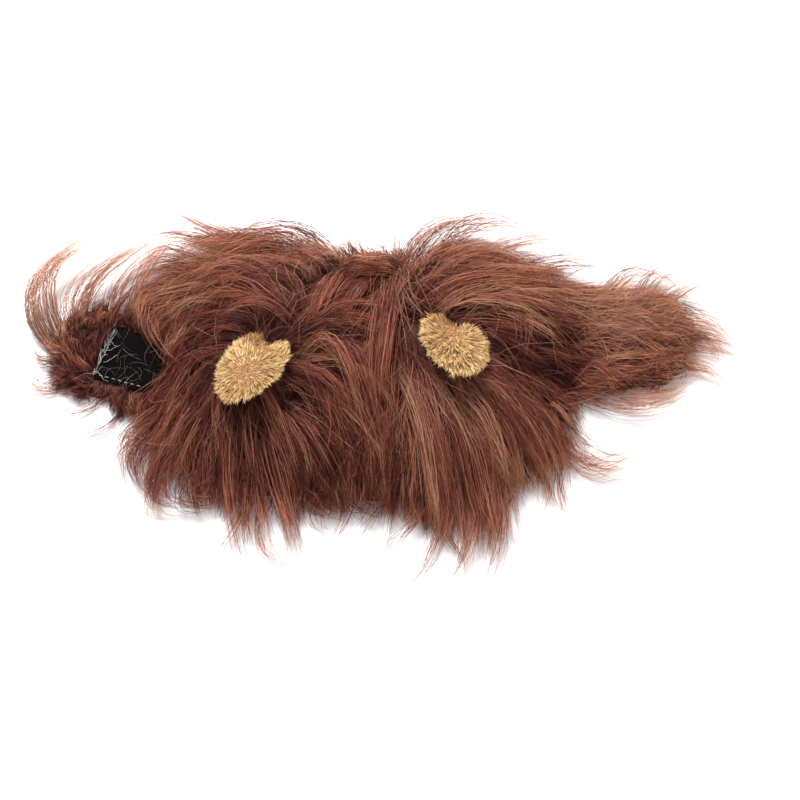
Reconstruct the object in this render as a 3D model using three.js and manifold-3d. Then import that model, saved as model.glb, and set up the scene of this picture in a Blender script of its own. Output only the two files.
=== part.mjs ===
// A lion's mane hat for a cat or a small dog, lying as it does on a table.
// A hollow crown of fur cloth goes over the head. Two straps leave its ends and close under the chin
// with a square of hook tape on one and of loop tape on the other. Deep fur covers all of the cloth,
// and two stuffed plush ears are sewn into the crown.
// Millimetres, +Z up. +Y is the face side, and -Y is the nape side, whose locks hang the longest.
import * as THREE from "three";
import { mergeVertices } from "three/addons/utils/BufferGeometryUtils.js";
import Module from "manifold-3d";

const wasm = await Module();
wasm.setup();

// Driving sizes
const CLEARANCE = 0.3; // between pieces that are sewn or lie on each other
const CLOTH = 2.5; // the backing cloth's wall
const CROWN_LENGTH = 190; // from strap to strap
const CROWN_DEPTH = 114; // from the nape edge to the face edge
const CROWN_RISE = 36; // height of the crown's outer side over the table
const CROWN_END_RISE = 3.6; // what is left of that height where a strap begins
const STRAP_WIDTH = 42;
const HOOK_STRAP_LENGTH = 54;
const HOOK_STRAP_TURN = -17; // degrees: the strap lies askew of the crown
const LOOP_STRAP_LENGTH = 50;
const LOOP_STRAP_TURN = 6;
const STRAP_CURL = 7; // how far a strap's tip curls up
const TAPE_LENGTH = 29; // hook or loop tape, along the strap
const TAPE_WIDTH = 26;
const TAPE_THICKNESS = 1.6;
const HOOK_TAPE_INSET = 20; // from its strap's tip to the near edge of the tape
const LOOP_TAPE_INSET = 13;
const UNDERFUR = 5; // dense short fur next to the cloth
const END_FUR = 2; // how far it stands out past the crown's two ends
const LOCK_LENGTH = 66;
const LOCK_WIDTH = 14;
const LOCK_THICKNESS = 6;
const LOCK_LOFT = 5; // how high a lock's middle lies over the underfur
const EAR_LENGTH = 42;
const EAR_WIDTH = 36;
const EAR_THICKNESS = 11;
const EAR_PLEAT = 8; // depth of the pleat that gathers an ear at its base
const EAR_STAND = 13; // from the cloth up to the middle of an ear
const EAR_SPACING = 90; // between the middles of the two ears
const EAR_ROOT_LENGTH = 7; // the seam allowance that goes down through the fur to the cloth
const EAR_ROOT_WIDTH = 15;

const FUR_BROWN = "#6b3a2a";
const CLOTH_BROWN = "#4a2a20";
const EAR_GOLD = "#c9a05c";
const TAPE_BLACK = "#141312";

// The crown's arches from its hook-strap end (along 0) to its loop-strap end (along 1), as shares:
// face and nape, of half of CROWN_DEPTH, are its two edges; rise is of CROWN_RISE over CROWN_END_RISE.
const ARCHES = [
  { along: 0.0, face: 0.5, nape: -0.44, rise: 0.0 },
  { along: 0.04, face: 0.82, nape: -0.8, rise: 0.3 },
  { along: 0.12, face: 0.98, nape: -0.97, rise: 0.68 },
  { along: 0.24, face: 1.04, nape: -1.0, rise: 0.92 },
  { along: 0.38, face: 0.99, nape: -1.03, rise: 1.0 },
  { along: 0.5, face: 0.93, nape: -1.05, rise: 0.93 },
  { along: 0.62, face: 0.99, nape: -1.04, rise: 1.0 },
  { along: 0.76, face: 1.01, nape: -0.97, rise: 0.86 },
  { along: 0.88, face: 0.93, nape: -0.74, rise: 0.54 },
  { along: 0.96, face: 0.78, nape: -0.42, rise: 0.24 },
  { along: 1.0, face: 0.6, nape: -0.14, rise: 0.0 },
];

// The fur is combed in fans of locks. A fan's roots run evenly from one place to another, and each
// lock leaves its root at a heading (degrees, 0 along +X and 90 along +Y) and turns by sweep to its tip.
// along and across are shares of half of CROWN_LENGTH and CROWN_DEPTH from the crown's middle;
// length is a share of LOCK_LENGTH. Pairs give the fan's first lock and its last.
const FAN_COLUMNS = ["fan", "along", "across", "heading", "sweep", "length", "locks"];
const CROWN_FANS = [
  ["face_left", [-0.15, -0.68], [0.72, 0.7], [118, 130], [38, 62], [0.9, 0.9], 5],
  ["crest_left", [0.02, -0.22], [0.74, 0.78], [118, 132], [28, 30], [0.62, 0.68], 3],
  ["shoulder_left", [-0.36, -0.84], [0.5, 0.36], [162, 178], [40, 40], [1.0, 0.6], 4],
  ["flank_left", [-0.78, -0.84], [0.02, -0.34], [196, 226], [20, 24], [0.66, 0.6], 3],
  ["nape_left", [-0.88, -0.64], [-0.4, -0.46], [240, 264], [16, 0], [0.6, 0.66], 3],
  ["tuft_under_left_ear", [-0.62, -0.5], [-0.48, -0.46], [266, 284], [0, 0], [0.98, 0.96], 2],
  ["nape_middle_left", [-0.42, -0.2], [-0.4, -0.4], [286, 284], [-6, 0], [0.68, 0.66], 3],
  ["fountain", [-0.3, -0.12], [-0.14, 0.12], [25, -5], [-85, -65], [0.9, 0.9], 3],
  ["diagonal", [0.03, -0.14], [0.6, 0.5], [217, 226], [14, 12], [0.95, 0.9], 2],
  ["middle", [0.13, 0.03], [0.82, 0.6], [255, 262], [10, 8], [1.1, 1.0], 2],
  ["nape_middle", [-0.12, 0.18], [-0.34, -0.36], [280, 285], [0, -4], [0.74, 0.8], 4],
  ["bright_lock", [0.14, 0.22], [0.08, -0.02], [272, 279], [10, 4], [1.15, 1.05], 2],
  ["face_right", [0.12, 0.34], [0.68, 0.74], [82, 56], [-45, -38], [0.78, 0.9], 4],
  ["crest_right", [0.32, 0.62], [0.52, 0.62], [50, 20], [-40, -18], [1.0, 0.95], 4],
  ["shoulder_right", [0.6, 0.66], [0.36, -0.02], [8, -8], [-6, 0], [0.95, 0.9], 3],
  ["end_right", [0.8, 0.8], [0.6, -0.2], [24, -20], [-14, 12], [0.85, 0.8], 4],
  ["flank_right", [0.66, 0.7], [-0.16, -0.42], [-14, -40], [0, -6], [0.75, 0.72], 3],
  ["nape_right", [0.28, 0.66], [-0.36, -0.42], [-83, -58], [-4, -14], [1.08, 0.9], 5],
];

// The same for the straps. along is from the strap's root (0) to its tip (1), and across is a share
// of half of STRAP_WIDTH.
const HOOK_STRAP_FANS = [
  ["top_wisps", [0.35, 0.92], [0.75, 0.6], [82, 112], [-25, -50], [0.5, 0.75], 4],
  ["tip", [0.9, 0.88], [0.3, -0.6], [140, 196], [-45, 10], [0.5, 0.32], 3],
  ["low_edge", [0.85, 0.35], [-0.75, -0.8], [222, 262], [15, 10], [0.28, 0.3], 3],
];
const LOOP_STRAP_FANS = [
  ["top", [0.0, 0.75], [0.66, 0.6], [24, 26], [-18, -26], [0.62, 0.42], 4],
  ["ridge", [0.05, 0.7], [0.1, 0.1], [4, 6], [0, 0], [0.65, 0.45], 3],
  ["low", [-0.1, 0.75], [-0.6, -0.6], [-22, -14], [16, 16], [0.75, 0.45], 4],
];

// Where an ear stands: along is a share of half of EAR_SPACING from EARS_MIDDLE; across is a share of
// half of CROWN_DEPTH. heading is where its tip points, and it leans over towards the other heading
// by lean (all in degrees), so its opposite edge stands up out of the fur.
const EARS_MIDDLE = -9;
const EARS = [
  { name: "ear_left", along: -1, across: -0.16, heading: 236, lean: 26, towards: 144 },
  { name: "ear_right", along: 1, across: 0.0, heading: 262, lean: 35, towards: 48 },
];
const EAR_ROOT_PLACE = 0.27; // from the ear's base edge to its root, as a share of EAR_LENGTH

const CROWN_STEPS = 16; // faces along the crown
const END_EASE = 0.6; // how much shorter those at its ends are
const ARCH_STEPS = 10; // faces over an arch
const STRAP_STEPS = 6;
const STRAP_WIDTH_STEPS = 4;
const STRAP_FUR_FALL = 0.6; // how much thinner a strap's fur is along its edges
const LOCK_STEPS = 4;
const EAR_SIDES = 22;
const EAR_RINGS = 4;
const FUR_TOLERANCE = 0.15; // faces of fur that differ by less than this are one
const LOCK_FALL = 1.1; // steepest drop of a lock, per millimetre of its length
const LOCK_BANK = 1.0; // steepest sideways slope of a lock
const DEEP = 20; // how far cutting volumes reach under the table
const HIGH = 200; // and over it

const radians = THREE.MathUtils.degToRad;
const lerp = THREE.MathUtils.lerp;
const smoothstep = THREE.MathUtils.smoothstep;

// Solids and booleans

function toSolid(geometry, tolerance = 0) {
  const bare = geometry.index ? geometry.toNonIndexed() : geometry.clone();
  bare.deleteAttribute("normal");
  bare.deleteAttribute("uv");
  const merged = mergeVertices(bare, 1e-4);
  return new wasm.Manifold(
    new wasm.Mesh({
      numProp: 3,
      vertProperties: merged.attributes.position.array,
      triVerts: new Uint32Array(merged.index.array),
      tolerance,
    }),
  );
}

function toGeometry(solid) {
  const { numProp, numVert, vertProperties, triVerts } = solid.getMesh();
  const places = new Float32Array(numVert * 3);
  for (let i = 0; i < numVert; i++) {
    places.set(vertProperties.subarray(i * numProp, i * numProp + 3), i * 3);
  }
  const geometry = new THREE.BufferGeometry();
  geometry.setAttribute("position", new THREE.BufferAttribute(places, 3));
  geometry.setIndex(new THREE.BufferAttribute(new Uint32Array(triVerts), 1));
  const faceted = geometry.toNonIndexed();
  faceted.computeVertexNormals();
  return faceted;
}

// The main body of a cut solid. A lock's end that an ear or a strap cuts off isn't fur any more.
function mainBody(solid) {
  const bodies = solid.decompose();
  bodies.sort((a, b) => b.volume() - a.volume());
  return bodies[0];
}

// A closed sheet between two grids of points, each grid[i][j], with top over bottom.
function sheetGeometry(top, bottom) {
  const rows = top.length;
  const columns = top[0].length;
  const places = [];
  const faces = [];
  for (const grid of [top, bottom]) {
    for (const row of grid) {
      for (const p of row) {
        places.push(p.x, p.y, p.z);
      }
    }
  }
  const up = (i, j) => i * columns + j;
  const down = (i, j) => (rows + i) * columns + j;
  const quad = (a, b, c, d) => faces.push(a, b, c, a, c, d);
  for (let i = 0; i + 1 < rows; i++) {
    for (let j = 0; j + 1 < columns; j++) {
      quad(up(i, j), up(i + 1, j), up(i + 1, j + 1), up(i, j + 1));
      quad(down(i, j), down(i, j + 1), down(i + 1, j + 1), down(i + 1, j));
    }
    quad(up(i + 1, 0), up(i, 0), down(i, 0), down(i + 1, 0));
    quad(up(i, columns - 1), up(i + 1, columns - 1), down(i + 1, columns - 1), down(i, columns - 1));
  }
  for (let j = 0; j + 1 < columns; j++) {
    quad(up(0, j), up(0, j + 1), down(0, j + 1), down(0, j));
    quad(up(rows - 1, j + 1), up(rows - 1, j), down(rows - 1, j), down(rows - 1, j + 1));
  }
  const geometry = new THREE.BufferGeometry();
  geometry.setAttribute("position", new THREE.Float32BufferAttribute(places, 3));
  geometry.setIndex(faces);
  return geometry;
}

function grid(rows, columns, pointAt) {
  return Array.from({ length: rows + 1 }, (_, i) =>
    Array.from({ length: columns + 1 }, (_, j) => pointAt(i / rows, (2 * j) / columns - 1)),
  );
}

function box(low, high) {
  const size = new THREE.Vector3().subVectors(high, low);
  const middle = new THREE.Vector3().addVectors(low, high).multiplyScalar(0.5);
  const geometry = new THREE.BoxGeometry(size.x, size.y, size.z);
  geometry.translate(middle.x, middle.y, middle.z);
  return geometry;
}

// The crown: circular arches of cloth that stand on their two edges

function archColumn(name) {
  const places = ARCHES.map((arch) => arch.along);
  const values = ARCHES.map((arch) => arch[name]);
  return new THREE.CubicInterpolant(places, values, 1, new Float32Array(1));
}

const archCurves = { face: archColumn("face"), nape: archColumn("nape"), rise: archColumn("rise") };

// The circle of the arch at a share of the crown's length.
function archAt(along) {
  const read = (name) => archCurves[name].evaluate(THREE.MathUtils.clamp(along, 0, 1))[0];
  const face = (read("face") * CROWN_DEPTH) / 2;
  const nape = (read("nape") * CROWN_DEPTH) / 2;
  const half = (face - nape) / 2;
  const rise = lerp(CROWN_END_RISE, CROWN_RISE, Math.max(0, read("rise")));
  const radius = (half * half + rise * rise) / (2 * rise);
  return { middle: (face + nape) / 2, half, rise, radius };
}

// A point of the arch, offset outwards from the cloth's outer side. turn is -1 at the nape's edge
// and 1 at the face's edge, both on the table.
function archPoint(along, turn, offset) {
  const { middle, rise, radius } = archAt(along);
  const grown = radius + offset;
  const foot = Math.acos((radius - rise) / grown);
  return new THREE.Vector3(
    (along - 0.5) * CROWN_LENGTH,
    middle + grown * Math.sin(turn * foot),
    rise - radius + grown * Math.cos(turn * foot),
  );
}

// A grid over the arches whose steps are shorter towards the crown's rounded ends.
function archGrid(pointAt) {
  const eased = (share) => share - (END_EASE / (2 * Math.PI)) * Math.sin(2 * Math.PI * share);
  return grid(CROWN_STEPS, ARCH_STEPS, (share, turn) => pointAt(eased(share), turn));
}

function archSheet(outer, inner) {
  return sheetGeometry(
    archGrid((along, turn) => archPoint(along, turn, outer)),
    archGrid((along, turn) => archPoint(along, turn, inner)),
  );
}

// All that lies under the arches at an offset from the cloth, and a little past the crown's ends too.
function underCrown(offset, past) {
  const stretch = 1 + (2 * past) / CROWN_LENGTH;
  const reach = (p, floor) => new THREE.Vector3(p.x * stretch, p.y, floor ? -DEEP : p.z);
  const top = (along, turn) => reach(archPoint(along, turn, offset), false);
  const bottom = (along, turn) => reach(archPoint(along, turn, offset), true);
  return sheetGeometry(archGrid(top), archGrid(bottom));
}

// Height of the arches over the table at a place, at an offset from the cloth, or 0 beside them.
function crownHeight(x, y, offset) {
  const along = x / CROWN_LENGTH + 0.5;
  if (along < 0 || along > 1) {
    return 0;
  }
  const { middle, rise, radius } = archAt(along);
  const reach = (radius + offset) ** 2 - (y - middle) ** 2;
  return reach > 0 ? Math.max(0, rise - radius + Math.sqrt(reach)) : 0;
}

// The straps: bands of cloth from the crown's ends, flat at the tape and curled up at the tip

const STRAPS = {
  hook_strap: {
    side: -1,
    length: HOOK_STRAP_LENGTH,
    turn: HOOK_STRAP_TURN,
    lift: 0,
    tapeInset: HOOK_TAPE_INSET,
    fans: HOOK_STRAP_FANS,
  },
  loop_strap: {
    side: 1,
    length: LOOP_STRAP_LENGTH,
    turn: LOOP_STRAP_TURN,
    lift: TAPE_THICKNESS + CLEARANCE, // it lies on its own loop tape
    tapeInset: LOOP_TAPE_INSET,
    fans: LOOP_STRAP_FANS,
  },
};
const STRAP_ROOT = 16; // how far a strap's outline starts inside the crown, before it is cut there

function strapFrame(strap) {
  const heading = radians(strap.turn) + (strap.side < 0 ? Math.PI : 0);
  const away = new THREE.Vector3(Math.cos(heading), Math.sin(heading), 0);
  const side = new THREE.Vector3(-away.y, away.x, 0).multiplyScalar(strap.side);
  const start = new THREE.Vector3((strap.side * CROWN_LENGTH) / 2, archAt(strap.side < 0 ? 0 : 1).middle, 0);
  return { start, away, side };
}

// A place on a strap: distance from its root, and across from -1 to 1 of its half-width.
function strapPlace(strap, distance, across) {
  const { start, away, side } = strapFrame(strap);
  return start.clone().addScaledVector(away, distance).addScaledVector(side, (across * STRAP_WIDTH) / 2);
}

// Height of a strap's underside over the table. It lies flat as far as its tape goes.
function strapUnder(strap, distance) {
  const flatFrom = (strap.length - strap.tapeInset - TAPE_LENGTH) * 0.9;
  const flatTo = strap.length - strap.tapeInset * 0.9;
  const lifted = strap.lift * smoothstep(distance, 0, Math.max(1, flatFrom));
  return lifted + STRAP_CURL * smoothstep(distance, flatTo, strap.length * 1.4);
}

// A strap's band from one height over its underside to another, grown all round by an amount.
// The top of its fur falls off by a share of its depth towards the strap's edges.
function strapBand(strap, from, to, grow, fallOff = 0) {
  const outlineAt = (share, across, height) => {
    const distance = lerp(-STRAP_ROOT, strap.length + grow, share);
    const round = THREE.MathUtils.clamp((distance / strap.length - 0.75) / 0.25, 0, 0.85);
    const half = Math.sqrt(1 - round * round) + (2 * grow) / STRAP_WIDTH;
    const place = strapPlace(strap, distance, strap.side * across * half);
    place.z = strapUnder(strap, distance) + height;
    return place;
  };
  const top = (share, across) => outlineAt(share, across, to - fallOff * (to - from) * across * across);
  const bottom = (share, across) => outlineAt(share, across, from);
  const steps = STRAP_STEPS * 2;
  return sheetGeometry(grid(steps, STRAP_WIDTH_STEPS, top), grid(steps, STRAP_WIDTH_STEPS, bottom));
}

// Everything on the crown's side of the plane where a strap is sewn to it.
function crownSide(strap) {
  const plane = strap.side * (CROWN_LENGTH / 2 + CLEARANCE);
  const far = -strap.side * CROWN_LENGTH;
  return box(
    new THREE.Vector3(Math.min(plane, far), -HIGH, -DEEP),
    new THREE.Vector3(Math.max(plane, far), HIGH, HIGH),
  );
}

function strapSolid(strap) {
  return mainBody(toSolid(strapBand(strap, 0, CLOTH, 0)).subtract(toSolid(crownSide(strap))));
}

// The tapes: hook tape on top of its strap, loop tape under the other

function tapeGeometry(strap, low, high, grow) {
  const { away } = strapFrame(strap);
  const middle = strapPlace(strap, strap.length - strap.tapeInset - TAPE_LENGTH / 2, 0);
  const geometry = new THREE.BoxGeometry(TAPE_LENGTH + 2 * grow, TAPE_WIDTH + 2 * grow, high - low);
  geometry.rotateZ(Math.atan2(away.y, away.x));
  geometry.translate(middle.x, middle.y, (low + high) / 2);
  return geometry;
}

const HOOK_TAPE_LOW = CLOTH + CLEARANCE;

// The locks of fur

// A stray value from -1 to 1 that is the same for the same number each time.
function stray(number) {
  const wave = Math.sin(number * 12.9898 + 4.1) * 43758.5453;
  return 2 * (wave - Math.floor(wave)) - 1;
}

// A lock is a flat tapered blade with three sides, from its root in the underfur to a pointed tip.
// height gives what it lies on at a place.
function lockGeometry({ x, y, heading, sweep, length, width, thickness }, height) {
  const places = [];
  const faces = [];
  const step = length / LOCK_STEPS;
  let z = 0;
  for (let i = 0; i <= LOCK_STEPS; i++) {
    const share = i / LOCK_STEPS;
    const angle = radians(heading + sweep * share);
    const swell = share < 0.35 ? lerp(0.6, 1, share / 0.35) : Math.sqrt(1 - ((share - 0.35) / 0.65) ** 2);
    const half = (width / 2) * swell;
    const thick = (thickness / 2) * Math.max(0.3, swell);
    const loft = LOCK_LOFT * Math.sin(Math.PI * Math.min(1, 0.12 + share * 0.8));
    const rest = height(x, y) + loft;
    z = i === 0 ? rest - LOCK_LOFT * 0.6 : Math.max(rest, z - step * LOCK_FALL, thick);
    const side = new THREE.Vector3(-Math.sin(angle), Math.cos(angle), 0);
    const near = height(x - side.x * half, y - side.y * half);
    const far = height(x + side.x * half, y + side.y * half);
    const bank = half > 0.5 ? THREE.MathUtils.clamp((far - near) / (2 * half), -LOCK_BANK, LOCK_BANK) : 0;
    if (i === LOCK_STEPS) {
      places.push(x, y, z);
    } else {
      side.z = bank;
      const up = new THREE.Vector3(0, 0, 1).addScaledVector(side, -bank / (1 + bank * bank)).setLength(thick);
      for (const [across, over] of [[1, -0.3], [0, 1], [-1, -0.3]]) {
        places.push(
          x + side.x * half * across + up.x * over,
          y + side.y * half * across + up.y * over,
          z + side.z * half * across + up.z * over,
        );
      }
    }
    x += Math.cos(angle) * step;
    y += Math.sin(angle) * step;
  }
  for (let i = 0; i + 1 < LOCK_STEPS; i++) {
    for (let k = 0; k < 3; k++) {
      const a = i * 3 + k;
      const b = i * 3 + ((k + 1) % 3);
      faces.push(a, b, b + 3, a, b + 3, a + 3);
    }
  }
  const last = (LOCK_STEPS - 1) * 3;
  const tip = LOCK_STEPS * 3;
  for (let k = 0; k < 3; k++) {
    faces.push(last + k, last + ((k + 1) % 3), tip);
  }
  faces.push(0, 2, 1);
  const geometry = new THREE.BufferGeometry();
  geometry.setAttribute("position", new THREE.Float32BufferAttribute(places, 3));
  geometry.setIndex(faces);
  return geometry;
}

// All locks of some fans. rootOf turns a fan's along and across into a place.
function combed(fans, rootOf, height, width) {
  const locks = [];
  for (const values of fans) {
    const row = Object.fromEntries(values.map((value, i) => [FAN_COLUMNS[i], value]));
    for (let i = 0; i < row.locks; i++) {
      const share = row.locks > 1 ? i / (row.locks - 1) : 0.5;
      const read = (pair) => lerp(pair[0], pair[1], share);
      const number = locks.length + row.fan.length * 7;
      const root = rootOf(read(row.along), read(row.across));
      locks.push(
        lockGeometry(
          {
            x: root.x,
            y: root.y,
            heading: read(row.heading) + 5 * stray(number),
            sweep: read(row.sweep) + 6 * stray(number + 1),
            length: LOCK_LENGTH * read(row.length) * (1 + 0.08 * stray(number + 2)),
            width: width * (1 + 0.15 * stray(number + 3)),
            thickness: LOCK_THICKNESS,
          },
          height,
        ),
      );
    }
  }
  return locks;
}

function crownLocks() {
  const rootOf = (along, across) => ({ x: (along * CROWN_LENGTH) / 2, y: (across * CROWN_DEPTH) / 2 });
  const height = (x, y) => crownHeight(x, y, CLEARANCE + UNDERFUR);
  return combed(CROWN_FANS, rootOf, height, LOCK_WIDTH);
}

function strapLocks(strap) {
  const rootOf = (along, across) => strapPlace(strap, along * strap.length, across);
  const { start, away, side } = strapFrame(strap);
  const top = CLOTH + CLEARANCE + UNDERFUR;
  const height = (x, y) => {
    const from = new THREE.Vector3(x, y, 0).sub(start);
    const distance = from.dot(away);
    const across = Math.abs(from.dot(side));
    const inside = distance < strap.length && across < STRAP_WIDTH / 2;
    return inside ? strapUnder(strap, distance) + top : 0;
  };
  return combed(strap.fans, rootOf, height, LOCK_WIDTH * 0.8);
}

// The ears: stuffed plush leaves, gathered by a pleat at the base and rooted in the crown

// Half of the ear's outline as a radius round its middle, with the pleat's notch at the base.
function earRadius(angle) {
  const along = Math.cos(angle);
  const point = along > 0 ? 1 + 0.1 * along ** 6 : 1;
  const across = Math.abs(Math.sin(angle));
  const oval = 1 / Math.hypot((2 * along) / EAR_LENGTH, (2 * across) / EAR_WIDTH);
  const fromBase = Math.PI - Math.abs(angle);
  const notch = EAR_PLEAT * Math.exp(-((fromBase / 0.3) ** 2));
  return oval * point - notch;
}

// One side of the ear's pillow over its middle plane, at a share of the radius.
function earHeight(share, angle) {
  const fromBase = Math.PI - Math.abs(angle);
  const crease = 0.45 * share * Math.exp(-((fromBase / 0.35) ** 2));
  return (EAR_THICKNESS / 2) * Math.sqrt(1 - share * share) * (1 - crease);
}

// The ear's pad in its own frame: +X to its tip, with its middle at the origin. grow adds a clearance.
function earGeometry(grow) {
  const places = [];
  const faces = [];
  const rings = [];
  for (let r = 0; r <= 2 * EAR_RINGS; r++) {
    const swing = (Math.PI / 2) * (r / EAR_RINGS);
    rings.push({ face: Math.sign(EAR_RINGS - r), share: Math.sin(swing) });
  }
  for (const { face, share } of rings) {
    for (let k = 0; k < (share > 1e-6 ? EAR_SIDES : 1); k++) {
      const angle = -Math.PI + (2 * Math.PI * k) / EAR_SIDES;
      const radius = share * (earRadius(angle) + grow);
      const height = face * (earHeight(share, angle) + grow);
      places.push(radius * Math.cos(angle), radius * Math.sin(angle), height);
    }
  }
  const ringStart = (n) => 1 + (n - 1) * EAR_SIDES;
  const lastRing = rings.length - 2;
  const bottom = ringStart(lastRing) + EAR_SIDES;
  for (let k = 0; k < EAR_SIDES; k++) {
    const next = (k + 1) % EAR_SIDES;
    faces.push(0, ringStart(1) + k, ringStart(1) + next);
    for (let n = 1; n < lastRing; n++) {
      const a = ringStart(n);
      const b = ringStart(n + 1);
      faces.push(a + k, b + k, b + next, a + k, b + next, a + next);
    }
    faces.push(bottom, ringStart(lastRing) + next, ringStart(lastRing) + k);
  }
  const geometry = new THREE.BufferGeometry();
  geometry.setAttribute("position", new THREE.Float32BufferAttribute(places, 3));
  geometry.setIndex(faces);
  return geometry;
}

// The gathered root that goes down from the ear's base through the fur to the cloth.
function earRootGeometry(ear, grow) {
  const from = new THREE.Vector3(EAR_LENGTH * (EAR_ROOT_PLACE - 0.5), 0, 0).applyMatrix4(earPlace(ear));
  const depth = from.z - crownHeight(from.x, from.y, 0) + CLOTH;
  const geometry = new THREE.CylinderGeometry(1, 1, depth, 12);
  geometry.rotateX(Math.PI / 2);
  geometry.scale(EAR_ROOT_LENGTH / 2 + grow, EAR_ROOT_WIDTH / 2 + grow, 1);
  geometry.rotateZ(radians(ear.heading));
  geometry.translate(from.x, from.y, from.z - depth / 2);
  return geometry;
}

function earPlace(ear) {
  const x = EARS_MIDDLE + (ear.along * EAR_SPACING) / 2;
  const y = (ear.across * CROWN_DEPTH) / 2;
  const leanAxis = new THREE.Vector3(-Math.sin(radians(ear.towards)), Math.cos(radians(ear.towards)), 0);
  const stand = new THREE.Matrix4().makeTranslation(x, y, crownHeight(x, y, 0) + EAR_STAND);
  const lean = new THREE.Matrix4().makeRotationAxis(leanAxis, radians(ear.lean));
  const turn = new THREE.Matrix4().makeRotationZ(radians(ear.heading));
  return stand.multiply(lean).multiply(turn);
}

function earSolid(ear, grow) {
  const pad = toSolid(earGeometry(grow).applyMatrix4(earPlace(ear)));
  return pad.add(toSolid(earRootGeometry(ear, grow)));
}

// The whole coat of fur, cut clear of the cloth, the ears and the hook tape

function coatSolid() {
  const straps = Object.values(STRAPS);
  let coat = toSolid(underCrown(CLEARANCE + UNDERFUR, END_FUR), FUR_TOLERANCE);
  for (const strap of straps) {
    const top = CLOTH + CLEARANCE + UNDERFUR;
    coat = coat.add(toSolid(strapBand(strap, -CLEARANCE, top, UNDERFUR / 2, STRAP_FUR_FALL)));
  }
  const locks = [...crownLocks(), ...straps.flatMap(strapLocks)];
  for (const lock of locks) {
    coat = coat.add(toSolid(lock, FUR_TOLERANCE));
  }
  const underTable = box(new THREE.Vector3(-HIGH * 2, -HIGH, -HIGH), new THREE.Vector3(HIGH * 2, HIGH, 0));
  const cuts = [toSolid(underTable), toSolid(underCrown(CLEARANCE, CLEARANCE))];
  for (const strap of straps) {
    cuts.push(toSolid(strapBand(strap, -DEEP, CLOTH + CLEARANCE, CLEARANCE)));
  }
  for (const ear of EARS) {
    cuts.push(earSolid(ear, CLEARANCE));
  }
  cuts.push(toSolid(tapeGeometry(STRAPS.hook_strap, 0, HIGH, CLEARANCE)));
  for (const cut of cuts) {
    coat = coat.subtract(cut);
  }
  return mainBody(coat);
}

// The hat

function piece(name, solid, colour, roughness) {
  const material = new THREE.MeshStandardMaterial({ color: colour, roughness, metalness: 0 });
  const mesh = new THREE.Mesh(toGeometry(solid), material);
  mesh.name = name;
  return mesh;
}

const mane = new THREE.Group();
mane.add(piece("crown_cloth", toSolid(archSheet(0, -CLOTH)), CLOTH_BROWN, 0.9));
for (const [name, strap] of Object.entries(STRAPS)) {
  mane.add(piece(name, strapSolid(strap), CLOTH_BROWN, 0.9));
}
const hookTape = tapeGeometry(STRAPS.hook_strap, HOOK_TAPE_LOW, HOOK_TAPE_LOW + TAPE_THICKNESS, 0);
mane.add(piece("hook_tape", toSolid(hookTape), TAPE_BLACK, 0.7));
mane.add(piece("loop_tape", toSolid(tapeGeometry(STRAPS.loop_strap, 0, TAPE_THICKNESS, 0)), TAPE_BLACK, 0.8));
mane.add(piece("mane_fur", coatSolid(), FUR_BROWN, 0.7));
for (const ear of EARS) {
  const clearOfCloth = earSolid(ear, 0).subtract(toSolid(underCrown(CLEARANCE, CLEARANCE)));
  mane.add(piece(ear.name, mainBody(clearOfCloth), EAR_GOLD, 0.85));
}

// The origin is on the table, under the middle of the whole hat.
const bounds = new THREE.Box3().setFromObject(mane);
const middle = bounds.getCenter(new THREE.Vector3());
mane.position.set(-middle.x, -middle.y, -bounds.min.z);

export default mane;
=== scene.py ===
# %% [markdown]
# # A lion's mane hat for a cat or a small dog
# The real hat is a hollow crown of brown fur cloth with a strap at each end, a square of black hook
# tape, and two golden plush ears. It lies on a white table, and the camera looks down on it. The solid
# model is already there as a fixed frame. This script gives it its looks: tens of thousands of hairs,
# plush, tape hooks, stitches and cloth.

import bpy
import math
import numpy as np
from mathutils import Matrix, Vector
from mathutils.bvhtree import BVHTree


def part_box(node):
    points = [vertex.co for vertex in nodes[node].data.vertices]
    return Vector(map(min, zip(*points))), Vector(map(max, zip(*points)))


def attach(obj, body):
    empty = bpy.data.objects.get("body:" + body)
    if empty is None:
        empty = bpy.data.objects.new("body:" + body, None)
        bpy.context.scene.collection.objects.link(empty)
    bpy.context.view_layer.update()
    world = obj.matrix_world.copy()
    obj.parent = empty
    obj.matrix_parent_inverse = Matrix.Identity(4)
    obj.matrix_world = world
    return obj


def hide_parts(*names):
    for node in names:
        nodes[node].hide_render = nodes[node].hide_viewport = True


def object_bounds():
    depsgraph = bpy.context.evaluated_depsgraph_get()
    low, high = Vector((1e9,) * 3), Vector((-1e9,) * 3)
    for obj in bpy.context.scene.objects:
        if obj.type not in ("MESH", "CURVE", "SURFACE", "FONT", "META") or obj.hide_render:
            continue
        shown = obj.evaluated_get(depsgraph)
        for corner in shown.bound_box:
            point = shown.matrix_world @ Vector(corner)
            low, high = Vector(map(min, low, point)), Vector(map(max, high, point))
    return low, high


MM = 0.001
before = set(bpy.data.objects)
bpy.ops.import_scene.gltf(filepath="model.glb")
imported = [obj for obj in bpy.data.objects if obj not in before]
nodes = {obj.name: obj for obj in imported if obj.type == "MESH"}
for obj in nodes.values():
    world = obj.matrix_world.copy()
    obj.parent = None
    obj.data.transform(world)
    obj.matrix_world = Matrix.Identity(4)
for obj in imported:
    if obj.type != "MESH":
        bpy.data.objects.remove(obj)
cad_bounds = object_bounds()
bpy.ops.object.select_all(action="DESELECT")
print("frame:", sorted(nodes), "bounds", [[round(v, 4) for v in c] for c in cad_bounds])

# %% [markdown]
# The camera stands at the nape side and looks down at 70 degrees. Its distance and lens give 0.46 mm
# to a pixel of the 800 pixel picture, and the aim puts the crown's middle where the photo has it.

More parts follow.
